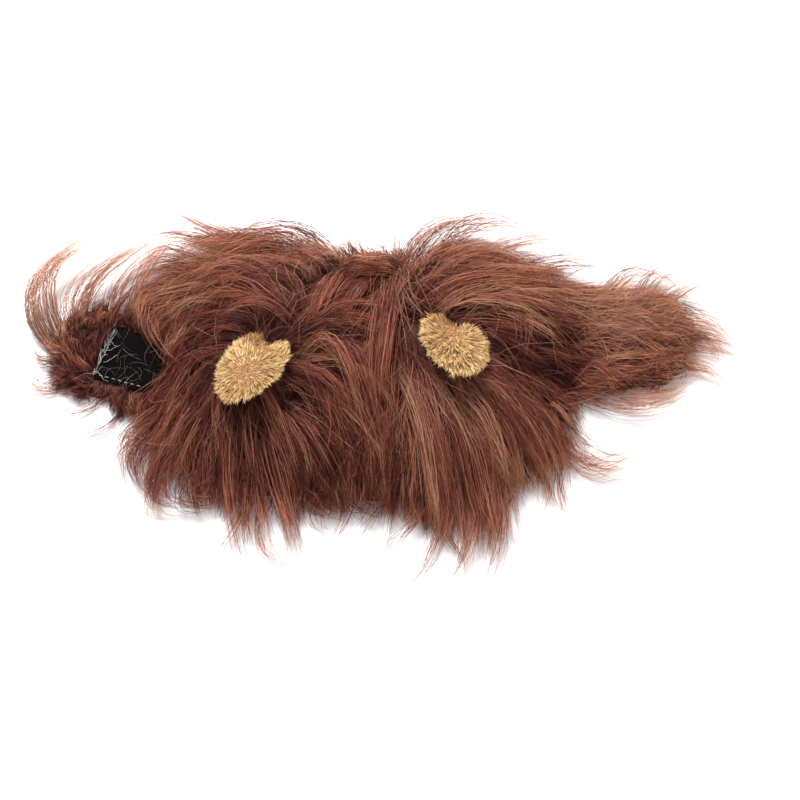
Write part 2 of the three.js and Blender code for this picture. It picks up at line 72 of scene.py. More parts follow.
# %% Camera
CAMERA_ELEVATION = math.radians(70)
CAMERA_DISTANCE = 869 * MM
CAMERA_LENS = 85
CAMERA_SENSOR = 36
PICTURE_SIZE = 800
CAMERA_NEAR = 50 * MM  # nothing nearer is drawn
PIXEL = 0.46 * MM  # one pixel of the picture, at the hat
CROWN_PIXEL = (375, 366)  # where the crown's middle lies in the photo
crown_low, crown_high = (np.array(corner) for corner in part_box("crown_cloth"))
crown_middle = (crown_low + crown_high) / 2
camera_away = np.array([0, -math.cos(CAMERA_ELEVATION), math.sin(CAMERA_ELEVATION)])
camera_up = np.array([0, math.sin(CAMERA_ELEVATION), math.cos(CAMERA_ELEVATION)])
camera_right = np.array([1.0, 0, 0])
aim = crown_middle + camera_right * (PICTURE_SIZE / 2 - CROWN_PIXEL[0]) * PIXEL
aim = aim + camera_up * (CROWN_PIXEL[1] - PICTURE_SIZE / 2) * PIXEL
camera_place = aim + camera_away * CAMERA_DISTANCE
bpy.ops.object.camera_add(location=camera_place, rotation=(math.pi / 2 - CAMERA_ELEVATION, 0, 0))
camera = bpy.context.object
camera.name = "camera"
camera.data.lens = CAMERA_LENS
camera.data.sensor_width = CAMERA_SENSOR
camera.data.clip_start = CAMERA_NEAR
bpy.context.scene.camera = camera
print("camera at", camera_place.round(3))

# %% [markdown]
# A pale table and soft light. A large lamp high over the face side throws the soft shadow that the
# photo shows below the nape, and the white world fills the rest, as a light tent does. Every material
# here starts from the same shader, so one helper makes it.

# %% Table
TABLE_SIZE = 6.0
TABLE_COLOUR = (0.93, 0.93, 0.94)


def plain_material(name, roughness, specular=0.5):
    """A material with a roughness and a specular level, its node tree and its shader."""
    material = bpy.data.materials.new(name)
    material.use_nodes = True
    shader = material.node_tree.nodes["Principled BSDF"]
    shader.inputs["Roughness"].default_value = roughness
    shader.inputs["Specular IOR Level"].default_value = specular
    return material, material.node_tree, shader


bpy.ops.mesh.primitive_plane_add(size=TABLE_SIZE, location=(0, 0, 0))
table = bpy.context.object
table.name = "table"
table_paint, _, table_shader = plain_material("table_white", roughness=0.9)
table_shader.inputs["Base Color"].default_value = (*TABLE_COLOUR, 1)
table.data.materials.append(table_paint)
print("table", TABLE_SIZE, "m wide")

# %% Lamps and world
WORLD_STRENGTH = 0.55


def softbox(name, place, size, power):
    """A square lamp that points at the hat. Place and size are metres, and power is watts."""
    bpy.ops.object.light_add(type="AREA", location=place)
    lamp = bpy.context.object
    lamp.name = name
    lamp.data.shape = "SQUARE"
    lamp.data.size = size
    lamp.data.energy = power
    lamp.rotation_euler = (-Vector(place)).to_track_quat("-Z", "Y").to_euler()


softbox("key_light", place=(-0.25, 0.75, 1.1), size=0.5, power=30)
softbox("fill_light", place=(0.5, -0.9, 1.3), size=1.4, power=7)
world = bpy.data.worlds.new("light_tent")
world.use_nodes = True
world.node_tree.nodes["Background"].inputs["Color"].default_value = (1, 1, 1, 1)
world.node_tree.nodes["Background"].inputs["Strength"].default_value = WORLD_STRENGTH
bpy.context.scene.world = world
bpy.context.scene.view_settings.view_transform = "Standard"

# %% [markdown]
# Hair grows out of the cloth and lies on it, so each hair has to know how high the cloth is below it.
# Rays dropped on the crown and the straps give a map of heights. A blurred copy of it is the slope
# that long hair lies on, because long hair bridges the small steps at the edge of the cloth.

# %% Height map of the cloth
MAP_STEP = 1.5 * MM
MAP_MARGIN = 40 * MM
RAY_START = 1.0  # metres over the table, or under it
NO_EAR = 9.0  # far above: nothing there holds the hair down
CLOTH_EDGE = 0.5 * MM  # the map is lower than this beside the cloth
BED_BLUR = 4  # times that the map is blurred for hair to lie on
RIM_BLUR = 40  # the same for the map that tells the edge from the middle
RIM_SHARE = 0.9  # of that map, under which a place is near the edge
map_low = np.array(cad_bounds[0][:2]) - MAP_MARGIN
map_high = np.array(cad_bounds[1][:2]) + MAP_MARGIN
map_shape = tuple(int(n) for n in np.ceil((map_high - map_low) / MAP_STEP))


def tree_of(*names):
    """A search tree over some of the frame's nodes, for rays."""
    places = []
    faces = []
    for name in names:
        mesh = nodes[name].data
        first = len(places)
        places += [v.co[:] for v in mesh.vertices]
        faces += [[first + i for i in p.vertices] for p in mesh.polygons]
    return BVHTree.FromPolygons(places, faces)


def height_map(tree, start, missing):
    """Heights of the first surface that rays from height start meet, on the map's grid."""
    heights = np.full(map_shape, missing)
    for i in range(map_shape[0]):
        for j in range(map_shape[1]):
            x, y = map_low + np.array([i, j]) * MAP_STEP
            met = tree.ray_cast((x, y, start), (0, 0, -start))[0]
            if met is not None:
                heights[i, j] = met.z
    return heights


def blurred(heights, times):
    """The map with each value mixed with its neighbours, several times over."""
    for _ in range(times):
        for axis in (0, 1):
            heights = (np.roll(heights, 1, axis) + 2 * heights + np.roll(heights, -1, axis)) / 4
    return heights


def read_map(heights, x, y):
    """A map's value at places between its grid points, and at its border outside it."""
    just_inside = 1.001
    u = np.clip((x - map_low[0]) / MAP_STEP, 0, map_shape[0] - just_inside)
    v = np.clip((y - map_low[1]) / MAP_STEP, 0, map_shape[1] - just_inside)
    i = u.astype(int)
    j = v.astype(int)
    u = u - i
    v = v - j
    near = heights[i, j] * (1 - v) + heights[i, j + 1] * v
    far = heights[i + 1, j] * (1 - v) + heights[i + 1, j + 1] * v
    return near * (1 - u) + far * u


cloth_map = height_map(tree_of("crown_cloth", "hook_strap", "loop_strap"), RAY_START, 0.0)
bed_map = blurred(cloth_map, BED_BLUR)
rim_map = blurred((cloth_map > CLOTH_EDGE).astype(float), RIM_BLUR)  # 1 inside, less near the edge
ear_under_map = height_map(tree_of("ear_left", "ear_right"), -RAY_START, NO_EAR)
print("height map", map_shape, "highest cloth mm", round(cloth_map.max() / MM, 1))

# %% [markdown]
# The fur's lie is read from the photo, so its places are pixels of the photo. A pixel becomes a place
# on the hat by following the camera's line of sight down to the cloth, or to a height above it. What
# is placed this way still rests on the cloth or the table, seen from any side.

# %% From the photo to the hat and back
SIGHT_TRIES = 25
SIGHT_PULL = 0.4  # share of the error in height that a try takes away


def place_of(pixels, lift):
    """Places on the hat, lift above the cloth or the table, that the camera sees at pixels."""
    pixels = np.atleast_2d(np.asarray(pixels, dtype=float))
    spread = CAMERA_SENSOR / CAMERA_LENS / PICTURE_SIZE
    across = (pixels[:, :1] - PICTURE_SIZE / 2) * spread
    upward = (PICTURE_SIZE / 2 - pixels[:, 1:]) * spread
    sight = -camera_away + camera_right * across + camera_up * upward
    height = np.zeros(len(pixels)) + lift
    for _ in range(SIGHT_TRIES):
        place = camera_place + sight * ((height - camera_place[2]) / sight[:, 2])[:, None]
        height += SIGHT_PULL * (read_map(bed_map, place[:, 0], place[:, 1]) + lift - height)
    return place


def pixel_of(places):
    """Pixels at which the camera sees places."""
    from_camera = places - camera_place
    depth = -(from_camera @ camera_away)
    scale = CAMERA_LENS / CAMERA_SENSOR * PICTURE_SIZE / depth
    u = PICTURE_SIZE / 2 + (from_camera @ camera_right) * scale
    v = PICTURE_SIZE / 2 - (from_camera @ camera_up) * scale
    return np.stack([u, v], axis=-1)


print("the crown's middle is seen at", pixel_of(crown_middle).round(1))

# %% [markdown]
# The fur is combed. Each row of the tables is a fan of hair: its roots run from one pixel to another,
# and each hair leaves at a heading and turns by a sweep until its tip. Headings and sweeps are
# degrees, with 0 to the right and 90 up. Length and lift, the height over the cloth, are millimetres,
# and shade runs from 0, dark, to 1, light. Shade is the fur's own tone with painted light and shade in
# it: fans in hollows, in the parting and on a strap's low side are darker, fans along the top edges
# lighter. A pair holds the values of the fan's first and last hair.

# %% How the crown's fur is combed
CROWN_FANS = [
    # name, first root, last root, heading, sweep, length, lift, shade
    ("crest_loop", (338, 264), (292, 256), (122, 138), (100, 92), (58, 56), 10, 0.72),
    ("crest_inner", (324, 292), (285, 276), (116, 136), (82, 76), (66, 62), 9, 0.56),
    ("over_left_ear", (306, 326), (262, 306), (110, 136), (80, 64), (68, 62), 8, 0.50),
    ("left_ear_top", (246, 318), (215, 335), (160, 182), (48, 40), (46, 42), 5, 0.36),
    ("left_top_edge", (268, 260), (192, 278), (136, 158), (66, 76), (54, 44), 9, 0.74),
    ("left_top", (232, 292), (184, 302), (158, 178), (52, 66), (50, 42), 8, 0.67),
    ("left_end_high", (196, 335), (182, 322), (198, 210), (48, 60), (36, 32), 6, 0.44),
    ("left_end", (202, 368), (184, 376), (212, 206), (44, 60), (38, 36), 5, 0.38),
    ("left_end_low", (202, 398), (184, 410), (224, 208), (34, 60), (44, 42), 8, 0.46),
    ("nape_left_high", (215, 428), (186, 438), (244, 216), (20, 56), (38, 40), 8, 0.46),
    ("nape_left", (214, 462), (190, 466), (254, 222), (18, 60), (34, 36), 7, 0.42),
    ("beside_left_ear", (216, 392), (232, 418), (250, 262), (8, 6), (44, 52), 7, 0.56),
    ("below_left_ear", (246, 418), (270, 402), (266, 292), (6, 8), (56, 58), 8, 0.50),
    ("left_ear_hollow", (258, 432), (276, 440), (272, 282), (4, 4), (24, 24), 2, 0.16),
    ("nape_below_ear", (232, 462), (304, 466), (266, 286), (2, -4), (30, 28), 7, 0.44),
    ("fountain", (284, 386), (300, 350), (40, 64), (-128, -112), (64, 64), 11, 0.50),
    ("fountain_low", (278, 400), (300, 425), (-28, -50), (-30, -22), (52, 48), 7, 0.36),
    ("left_of_middle", (330, 372), (346, 405), (-60, -68), (-16, -10), (50, 46), 7, 0.36),
    ("nape_left_middle", (312, 462), (372, 468), (290, 278), (-8, -4), (24, 26), 7, 0.40),
    ("dome", (314, 326), (334, 296), (76, 58), (-76, -62), (28, 26), 5, 0.18),
    ("face_edge", (340, 268), (398, 272), (120, 84), (40, 50), (24, 24), 16, 0.76),
    ("shaded_parting", (346, 292), (372, 340), (270, 262), (10, 6), (24, 28), 3, 0.07),
    ("middle_lock", (398, 276), (391, 312), (255, 258), (10, 6), (68, 60), 10, 0.58),
    ("middle", (384, 352), (380, 405), (262, 272), (10, 6), (56, 50), 7, 0.30),
    ("nape_middle", (386, 462), (432, 462), (272, 276), (0, -2), (32, 42), 7, 0.38),
    ("bright_lock", (396, 362), (410, 386), (289, 284), (-10, -6), (74, 70), 11, 0.66),
    ("right_tuft", (400, 300), (420, 282), (84, 70), (-62, -70), (48, 54), 10, 0.64),
    ("right_crest", (412, 258), (470, 264), (76, 52), (-74, -60), (40, 42), 8, 0.70),
    ("over_right_ear", (412, 314), (442, 296), (62, 40), (-62, -46), (64, 64), 8, 0.52),
    ("right_ridge", (470, 300), (522, 302), (26, 8), (-30, -16), (64, 62), 9, 0.68),
    ("right_top_edge", (498, 272), (552, 284), (26, 10), (-36, -18), (54, 58), 8, 0.78),
    ("right_end_high", (545, 312), (572, 332), (2, -4), (-6, -2), (58, 56), 8, 0.70),
    ("right_hollow", (508, 322), (502, 366), (-94, -64), (18, 10), (30, 32), 3, 0.10),
    ("right_hollow_end", (540, 345), (548, 376), (-12, -22), (8, 6), (44, 42), 4, 0.20),
    ("below_right_ear", (440, 380), (494, 380), (-34, -20), (-34, -42), (70, 62), 10, 0.50),
    ("right_flank", (522, 396), (556, 402), (-28, -18), (-36, -12), (52, 48), 8, 0.52),
    ("nape_right_high", (424, 408), (470, 420), (-74, -62), (-14, -22), (64, 64), 9, 0.58),
    ("nape_right_end", (502, 430), (540, 430), (-60, -52), (-18, -20), (42, 42), 8, 0.50),
    ("nape_right", (440, 474), (520, 462), (-88, -68), (-6, -8), (38, 30), 7, 0.46),
]
HOOK_STRAP_FANS = [
    ("top", (158, 325), (78, 325), (80, 108), (-28, -48), (26, 40), 5, 0.50),
    ("end_curl", (66, 340), (58, 362), (126, 150), (-66, -56), (42, 34), 5, 0.60),
    ("end", (60, 374), (66, 392), (195, 228), (-10, 10), (24, 18), 4, 0.50),
    ("face_high", (88, 336), (120, 330), (84, 78), (-10, -5), (12, 12), 4, 0.24),
    ("face", (86, 352), (84, 386), (84, 160), (-20, 5), (14, 14), 3, 0.34),
    ("low", (88, 398), (150, 412), (236, 284), (10, -5), (14, 18), 3, 0.40),
]
LOOP_STRAP_FANS = [
    ("top", (575, 302), (662, 306), (14, 20), (-16, -28), (40, 30), 8, 0.80),
    ("ridge", (580, 330), (670, 330), (0, 6), (-2, -8), (46, 28), 9, 0.70),
    ("low", (575, 366), (652, 358), (-12, -4), (12, 16), (44, 30), 7, 0.54),
    ("tip", (682, 312), (684, 366), (30, -24), (-12, 12), (26, 24), 4, 0.80),
]
GUIDE_SPACING = 6 * MM  # between the guide hairs of a fan


def guides_of(fans):
    """Guide hairs along each fan, one row each: x, y, heading, sweep, length, lift and shade."""
    rows = []
    for _, first, last, heading, sweep, length, lift, shade in fans:
        ends = place_of([first, last], 0)
        count = max(2, int(np.linalg.norm(ends[1] - ends[0]) / GUIDE_SPACING) + 1)
        for share in np.linspace(0, 1, count):
            x, y = (ends[0] + (ends[1] - ends[0]) * share)[:2]
            turn = np.radians([np.interp(share, (0, 1), pair) for pair in (heading, sweep)])
            rows.append([x, y, *turn, np.interp(share, (0, 1), length) * MM, lift * MM, shade])
    return np.array(rows)


crown_guides = guides_of(CROWN_FANS)
hook_guides = guides_of(HOOK_STRAP_FANS)
loop_guides = guides_of(LOOP_STRAP_FANS)
print("guide hairs:", len(crown_guides), len(hook_guides), len(loop_guides))

# %% [markdown]
# The dense fur ends at an outline, as if it had been trimmed, and only wisps pass it. The outline is
# in pixels too: the lock that would cross it is shortened until its tip lies on it.

# %% Trim the fur to the photo's outline
OUTLINE = [
    (38, 345), (52, 325), (85, 310), (120, 300), (136, 276), (160, 250), (195, 234), (235, 227),
    (270, 221), (305, 234), (330, 250), (345, 243), (375, 248), (398, 244), (415, 234), (445, 230),
    (480, 236), (520, 254), (555, 267), (590, 285), (630, 281), (660, 284), (680, 296), (692, 318),
    (706, 342), (692, 354), (666, 364), (638, 376), (604, 394), (578, 412), (570, 430), (566, 455),
    (562, 482), (545, 495), (520, 484), (507, 512), (502, 558), (480, 570), (450, 560), (440, 540),
    (420, 528), (400, 517), (370, 512), (330, 512), (302, 524), (290, 538), (270, 524), (256, 545),
    (240, 556), (230, 530), (216, 507), (180, 508), (150, 503), (132, 486), (124, 446), (122, 418),
    (95, 405), (65, 400), (44, 380),
]
outline_low, outline_high = np.min(OUTLINE, axis=0), np.max(OUTLINE, axis=0)
outline_middle = (outline_low + outline_high) / 2


def unit(vectors):
    """Vectors made one long."""
    return vectors / np.maximum(np.linalg.norm(vectors, axis=-1, keepdims=True), 1e-9)


def inside_outline(pixels, loose):
    """Whether pixels lie inside the outline, or outside it by less than loose pixels."""
    outwards = unit((pixels - outline_middle) / (outline_high - outline_low) ** 2)
    pixels = pixels - outwards * loose
    corners = np.array(OUTLINE, dtype=float)
    inside = np.zeros(pixels.shape[:-1], dtype=bool)
    for (ax, ay), (bx, by) in zip(corners, np.roll(corners, -1, axis=0)):
        crosses = (ay > pixels[..., 1]) != (by > pixels[..., 1])
        at = ax + (pixels[..., 1] - ay) / (by - ay + 1e-9) * (bx - ax)
        inside ^= crosses & (pixels[..., 0] < at)
    return inside


print("the outline has", len(OUTLINE), "corners from", outline_low, "to", outline_high)

# %% [markdown]
# No fur grows on the hook tape, and the fur around it is kept off it, so the tape's place is needed
# first. The tape is a rectangle that lies askew: the turn whose box around it is smallest is its own.

# %% Find the hook tape
tape_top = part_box("hook_tape")[1][2]
tape_points = np.array([v.co[:2] for v in nodes["hook_tape"].data.vertices])
tape_middle = tape_points.mean(axis=0)
tape_turns = np.radians(np.arange(-44, 45, 0.5))  # up to an eighth of a turn, half a degree a time
tape_spans = [
    np.ptp(tape_points @ (math.cos(a), math.sin(a))) * np.ptp(tape_points @ (-math.sin(a), math.cos(a)))
    for a in tape_turns
]
tape_turn = tape_turns[int(np.argmin(tape_spans))]
tape_along = np.array([math.cos(tape_turn), math.sin(tape_turn)])
tape_across = np.array([-tape_along[1], tape_along[0]])
tape_half = np.array([np.ptp(tape_points @ tape_along), np.ptp(tape_points @ tape_across)]) / 2
print("tape turned", round(math.degrees(tape_turn), 1), "half sizes mm", (tape_half / MM).round(1))


def over_tape(x, y):
    """Whether places lie over the hook tape."""
    apart = np.stack([x, y], axis=-1) - tape_middle
    return (np.abs(apart @ tape_along) < tape_half[0]) & (np.abs(apart @ tape_across) < tape_half[1])


# %% [markdown]
# The guide hairs nearest to a root give it its heading, sweep, length and lift, so the combing changes
# smoothly from fan to fan. Slow waves will turn neighbouring locks a little together. The random
# numbers have a fixed seed, so each run grows the same fur.

# %% Combing between the guides
rng = np.random.default_rng(7)
GUIDE_BLUR = 3 * MM  # guides that are nearer to a root than this count alike
PLACES_AT_ONCE = 2000  # to save memory


def combed(guides, x, y):
    """Heading, sweep, length, lift and shade at places, blended from the guides near them."""
    out = np.zeros((len(x), 5))
    for first in range(0, len(x), PLACES_AT_ONCE):
        part = slice(first, first + PLACES_AT_ONCE)
        apart = (x[part, None] - guides[None, :, 0]) ** 2 + (y[part, None] - guides[None, :, 1]) ** 2
        weight = 1 / (apart + GUIDE_BLUR**2) ** 3
        weight /= weight.sum(axis=1, keepdims=True)
        out[part, 0] = np.arctan2(weight @ np.sin(guides[:, 2]), weight @ np.cos(guides[:, 2]))
        out[part, 1:] = weight @ guides[:, 3:]
    return out


def waves(x, y, size, phase):
    """A smooth wavy number from about -1 to 1: three sine waves in directions that never match."""
    u = x / size
    v = y / size
    first = np.sin(1.7 * u + 2.3 * v + phase)
    return (first + np.sin(2.9 * u - 1.3 * v + 2.1 * phase) + np.sin(4.1 * v - 0.7 * u)) / 3


middle_comb = combed(crown_guides, crown_middle[:1], crown_middle[1:2])[0]
print("hair in the crown's middle is combed to", round(math.degrees(middle_comb[0])), "degrees")

# %% [markdown]
# A hair's path is walked in steps from its root. Each step turns by a part of the sweep. The hair
# rises to its crest, sinks a little towards its tip, falls no faster than real fur would where the
# cloth ends, and lies on the table from there. Below an ear it keeps under the ear.

# %% Paths over the cloth
TABLE_CLEARANCE = 0.5 * MM
ROOT_HEIGHT = 0.3 * MM  # of a root over the cloth
STEEPEST_FALL = 1.2  # of a hair, for each unit along the table
STEEPEST_CLIMB = 0.5  # of the bed below a hair that still makes its steps shorter
CREST_SHARE = 0.35  # where along a hair it lies highest
CREST_POWER = 0.8  # under 1, so a hair leaves its root steeply
TIP_SINK = 0.45  # share of its lift that a hair has lost at its tip
LEAST_LIFT = 0.15  # share of its lift that a hair keeps over the table
EAR_GAP = 1.0 * MM  # from a hair to the ear over it
TRIM_STEPS = 12  # of a path that is tested against the outline and the tape
ROOTED_STEPS = 2  # first points of a path that aren't tested


def grow(x, y, heading, sweep, length, lift, steps):
    """Paths of hairs from their roots, over the cloth, down its sides and out on the table."""
    paths = np.zeros((len(x), steps + 1, 3))
    step = length / steps
    z = read_map(cloth_map, x, y) + ROOT_HEIGHT
    paths[:, 0] = np.stack([x, y, z], axis=1)
    for i in range(1, steps + 1):
        share = i / steps
        angle = heading + sweep * (share - 0.5 / steps)
        ahead = read_map(bed_map, x + np.cos(angle) * step, y + np.sin(angle) * step)
        slope = (ahead - read_map(bed_map, x, y)) / step
        run = step / np.sqrt(1 + np.clip(slope, -STEEPEST_FALL, STEEPEST_CLIMB) ** 2)
        x = x + np.cos(angle) * run
        y = y + np.sin(angle) * run
        rise = math.sin(0.5 * math.pi * min(1, share / CREST_SHARE)) ** CREST_POWER
        rise *= 1 - TIP_SINK * max(0, share - CREST_SHARE) / (1 - CREST_SHARE)
        rest = read_map(bed_map, x, y) + lift * rise
        z = np.maximum(np.maximum(rest, z - STEEPEST_FALL * run), TABLE_CLEARANCE + LEAST_LIFT * lift)
        z = np.minimum(z, read_map(ear_under_map, x, y) - EAR_GAP)
        paths[:, i] = np.stack([x, y, z], axis=1)
    return paths


def trimmed(x, y, heading, sweep, length, lift, loose):
    """Lengths of hairs, shortened where their paths leave the outline or come over the tape."""
    paths = grow(x, y, heading, sweep, length, lift, TRIM_STEPS)
    inside = inside_outline(pixel_of(paths), loose[:, None, None])
    inside &= ~over_tape(paths[:, :, 0], paths[:, :, 1])
    inside[:, :ROOTED_STEPS] = True
    last = np.where(inside.all(axis=1), TRIM_STEPS, inside.argmin(axis=1) - 0.5)
    return length * last / TRIM_STEPS


sample = [np.array([value]) for value in (crown_middle[0], crown_middle[1], 0.0, 0.0, 40 * MM, 8 * MM)]
sample_tip = grow(*sample, TRIM_STEPS)[0, -1]
print("40 mm of hair combed to the right from the crown's middle ends at mm", (sample_tip / MM).round(1))

# %% [markdown]
# Real fur hangs together in locks. Each lock has a middle hair that follows the combing, and its other
# hairs close in on that middle towards their tips, but for a few that leave their lock. Locks lie in
# storeys over each other, and an upper one is lighter, because more light gets to it.

# %% Locks of hair
LOCK_TURN = np.radians(10)  # how far waves turn a lock, and how much its sweep varies
LOCK_WAVE = 11 * MM  # size of those waves
LOCK_LENGTHS = (0.8, 1.1)  # least and most share of the combed length
STOREYS = (0.35, 1.25)  # least and most share of the combed lift
MIDDLE_STOREY = 0.85
# Painted light: a lock in an upper storey is coloured lighter, as more light gets to it.
STOREY_SHADE = 0.36  # how much lighter a lock is, for each storey over the middle one
LOCK_LIFT = 1 * MM  # that each lock has besides
LOOSE = 5  # pixels by which locks end past the outline or short of it, at random and in waves
LOOSE_WAVE = 9 * MM
RAGGED = (0.92, 1.12)  # least and most share of the trimmed length
STRAY_SHARE = 0.12  # of a lock's hairs
HAIR_HEADING, STRAY_HEADING = 5, 15  # degrees by which hairs differ from their lock
HAIR_SWEEP, STRAY_SWEEP = 8, 25
STRAY_LIFT = 3 * MM
HAIR_LENGTHS = (0.75, 1.06)  # least and most share of the lock's length
LOCK_DOME = 2.6 * MM  # of the hairs in the middle over those at the side
LOCK_SPREADS = (0.6, 1.4)  # least and most share of the coat's radius
CORE_LIFT = 1.2 * MM  # of the middle hair over its lock
HOLDS = (0.72, 0.97)  # how far hairs close in on the middle at their tips
STRAY_HOLD = 0.2
HOLD_POWER = 0.7
LOCK_CURL = 1.6 * MM
LOCK_SHADE, HAIR_SHADE = 0.16, 0.12  # how much locks and single hairs vary in shade
SHADE_RANGE = (0.02, 0.95)
STEEPEST_AREA = 6.0  # square of the steepest slope that counts for the cloth's area


def close_in(own, middle, hold):
    """Hairs drawn sideways to their lock's middle hair, by hold at each ring."""
    own = own.copy()
    own[:, :, :2] += (middle[:, :, :2] - own[:, :, :2]) * hold[:, :, None]
    return own


def curl(paths, size):
    """Hairs with a small wave of their own, stronger towards the tip."""
    count, rings, _ = paths.shape
    share = np.linspace(0, 1, rings)[None, :]
    along = unit(paths[:, -1, :2] - paths[:, 0, :2])
    side = np.stack([-along[:, 1], along[:, 0]], axis=1)
    turns = rng.uniform(0.5, 1.6, count)[:, None] * share + rng.uniform(0, 1, count)[:, None]
    sway = np.sin(2 * math.pi * turns) - np.sin(2 * math.pi * turns[:, :1])
    sway = sway * share * (size * rng.uniform(0.2, 1, count))[:, None]
    paths = paths.copy()
    paths[:, :, :2] += side[:, None, :] * sway[:, :, None]
    return paths


def random_roots(count, allowed):
    """Random places on the cloth, spread evenly over its area and not over its shadow."""
    slope_x, slope_y = np.gradient(bed_map, MAP_STEP)
    area = np.sqrt(1 + np.minimum(slope_x**2 + slope_y**2, STEEPEST_AREA))
    area = np.where(cloth_map > CLOTH_EDGE, area, 0)
    grid_x = np.broadcast_to(map_low[0] + MAP_STEP * np.arange(map_shape[0])[:, None], map_shape)
    grid_y = np.broadcast_to(map_low[1] + MAP_STEP * np.arange(map_shape[1])[None, :], map_shape)
    chance = (area * allowed(grid_x, grid_y)).ravel()
    picked = rng.choice(chance.size, count, p=chance / chance.sum())
    x = grid_x.ravel()[picked] + rng.uniform(-0.5, 0.5, count) * MAP_STEP
    y = grid_y.ravel()[picked] + rng.uniform(-0.5, 0.5, count) * MAP_STEP
    return x, y


def locks_of_hair(roots, guides, coat):
    """The hairs of a coat's locks, and their shades."""
    x, y = roots
    count = len(x)
    steps = coat["steps"]
    base = combed(guides, x, y)
    tilt = np.radians(coat["tilt"])
    heading = base[:, 0] + LOCK_TURN * waves(x, y, LOCK_WAVE, 1.0) + tilt * rng.normal(size=count)
    sweep = base[:, 1] + LOCK_TURN * rng.normal(size=count)
    length = base[:, 2] * rng.uniform(*LOCK_LENGTHS, count) * coat["length"]
    storey = rng.uniform(*STOREYS, count)
    lift = base[:, 3] * storey * coat["lift"] + LOCK_LIFT
    loose = LOOSE * rng.normal(size=count) + LOOSE * waves(x, y, LOOSE_WAVE, 3.0)
    length = trimmed(x, y, heading, sweep, length, lift, loose) * rng.uniform(*RAGGED, count)
    lock = np.repeat(np.arange(count), coat["hairs"])
    total = len(lock)
    turn = rng.uniform(0, 2 * math.pi, total)
    far = np.sqrt(rng.uniform(0, 1, total))
    spread = coat["radius"] * rng.uniform(*LOCK_SPREADS, count)[lock]
    stray = rng.uniform(size=total) < STRAY_SHARE
    heading_spread = np.radians(np.where(stray, STRAY_HEADING, HAIR_HEADING))
    own_heading = heading[lock] + heading_spread * rng.normal(size=total)
    own_length = length[lock] * rng.uniform(*HAIR_LENGTHS, total)
    own_sweep = sweep[lock] + np.radians(np.where(stray, STRAY_SWEEP, HAIR_SWEEP)) * rng.normal(size=total)
    own_lift = lift[lock] + LOCK_DOME * np.sqrt(1 - far**2) * rng.uniform(0.3, 1, total)
    own_lift = own_lift + np.where(stray, rng.uniform(0, STRAY_LIFT, total), 0)
    own_x = x[lock] + np.cos(turn) * far * spread
    own_y = y[lock] + np.sin(turn) * far * spread
    own = grow(own_x, own_y, own_heading, own_sweep, own_length, own_lift, steps)
    middle = grow(x, y, heading, sweep, length, lift + CORE_LIFT, steps)[lock]
    share = np.linspace(0, 1, steps + 1)[None, :]
    hold = np.where(stray, STRAY_HOLD, rng.uniform(*HOLDS, total))[:, None] * share**HOLD_POWER
    own = curl(close_in(own, middle, hold), LOCK_CURL)
    # painted light and shade: locks in upper storeys are lighter, those in lower ones darker
    shade = base[:, 4] + coat["shade"] + STOREY_SHADE * (storey - MIDDLE_STOREY)
    shade = shade + LOCK_SHADE * rng.normal(size=count)
    return own, np.clip(shade[lock] + HAIR_SHADE * rng.normal(size=total), *SHADE_RANGE)


print("a lock's hairs differ from it by", HAIR_HEADING, "degrees, and stray ones by", STRAY_HEADING)

# %% [markdown]
# Single fine hairs stray over the combed fur. More of them grow near the edge of the cloth, where they
# may pass the outline, so the fur ends softly. A coat is a layer of locks: how many, how many hairs in
# each and how wide, and its shares of the combed length and lift.

# %% Hairs of the crown
FRIZZ_STEPS = 5
FRIZZ_HEADING, FRIZZ_SWEEP = np.radians(26), np.radians(50)  # how much they vary
FRIZZ_LENGTHS = (0.35, 0.95)  # least and most share of the combed length
FRIZZ_LIFTS = (0.7, 1.5)  # the same for the lift
FRIZZ_HEIGHT = 2.5 * MM
FRIZZ_CURL = 2.8 * MM
# Painted light: stray hairs lie over the combed fur and are coloured lighter, as more light gets to them.
FRIZZ_LIGHTER, FRIZZ_SHADE = 0.16, 0.14
FRIZZ_RANGE = (0.1, 0.97)


def frizz(roots, guides, loose):
    """Single fine hairs that stray over the combed fur, and up to loose pixels outside the outline."""
    x, y = roots
    count = len(x)
    base = combed(guides, x, y)
    heading = base[:, 0] + FRIZZ_HEADING * rng.normal(size=count)
    sweep = base[:, 1] + FRIZZ_SWEEP * rng.normal(size=count)
    length = base[:, 2] * rng.uniform(*FRIZZ_LENGTHS, count)
    lift = base[:, 3] * rng.uniform(*FRIZZ_LIFTS, count) + FRIZZ_HEIGHT
    length = trimmed(x, y, heading, sweep, length, lift, loose * rng.uniform(0, 1, count))
    paths = curl(grow(x, y, heading, sweep, length, lift, FRIZZ_STEPS), FRIZZ_CURL)
    return paths, np.clip(base[:, 4] + FRIZZ_LIGHTER + FRIZZ_SHADE * rng.normal(size=count), *FRIZZ_RANGE)


def together(*groups):
    """Several groups of hairs as one."""
    return tuple(np.concatenate(parts) for parts in zip(*groups))


def on_crown(x, y):
    """Whether places lie between the crown's two ends."""
    return (x > crown_low[0]) & (x < crown_high[0])


def on_rim(x, y):
    """Whether places lie on the crown, near the edge of the cloth."""
    return on_crown(x, y) & (read_map(rim_map, x, y) < RIM_SHARE)
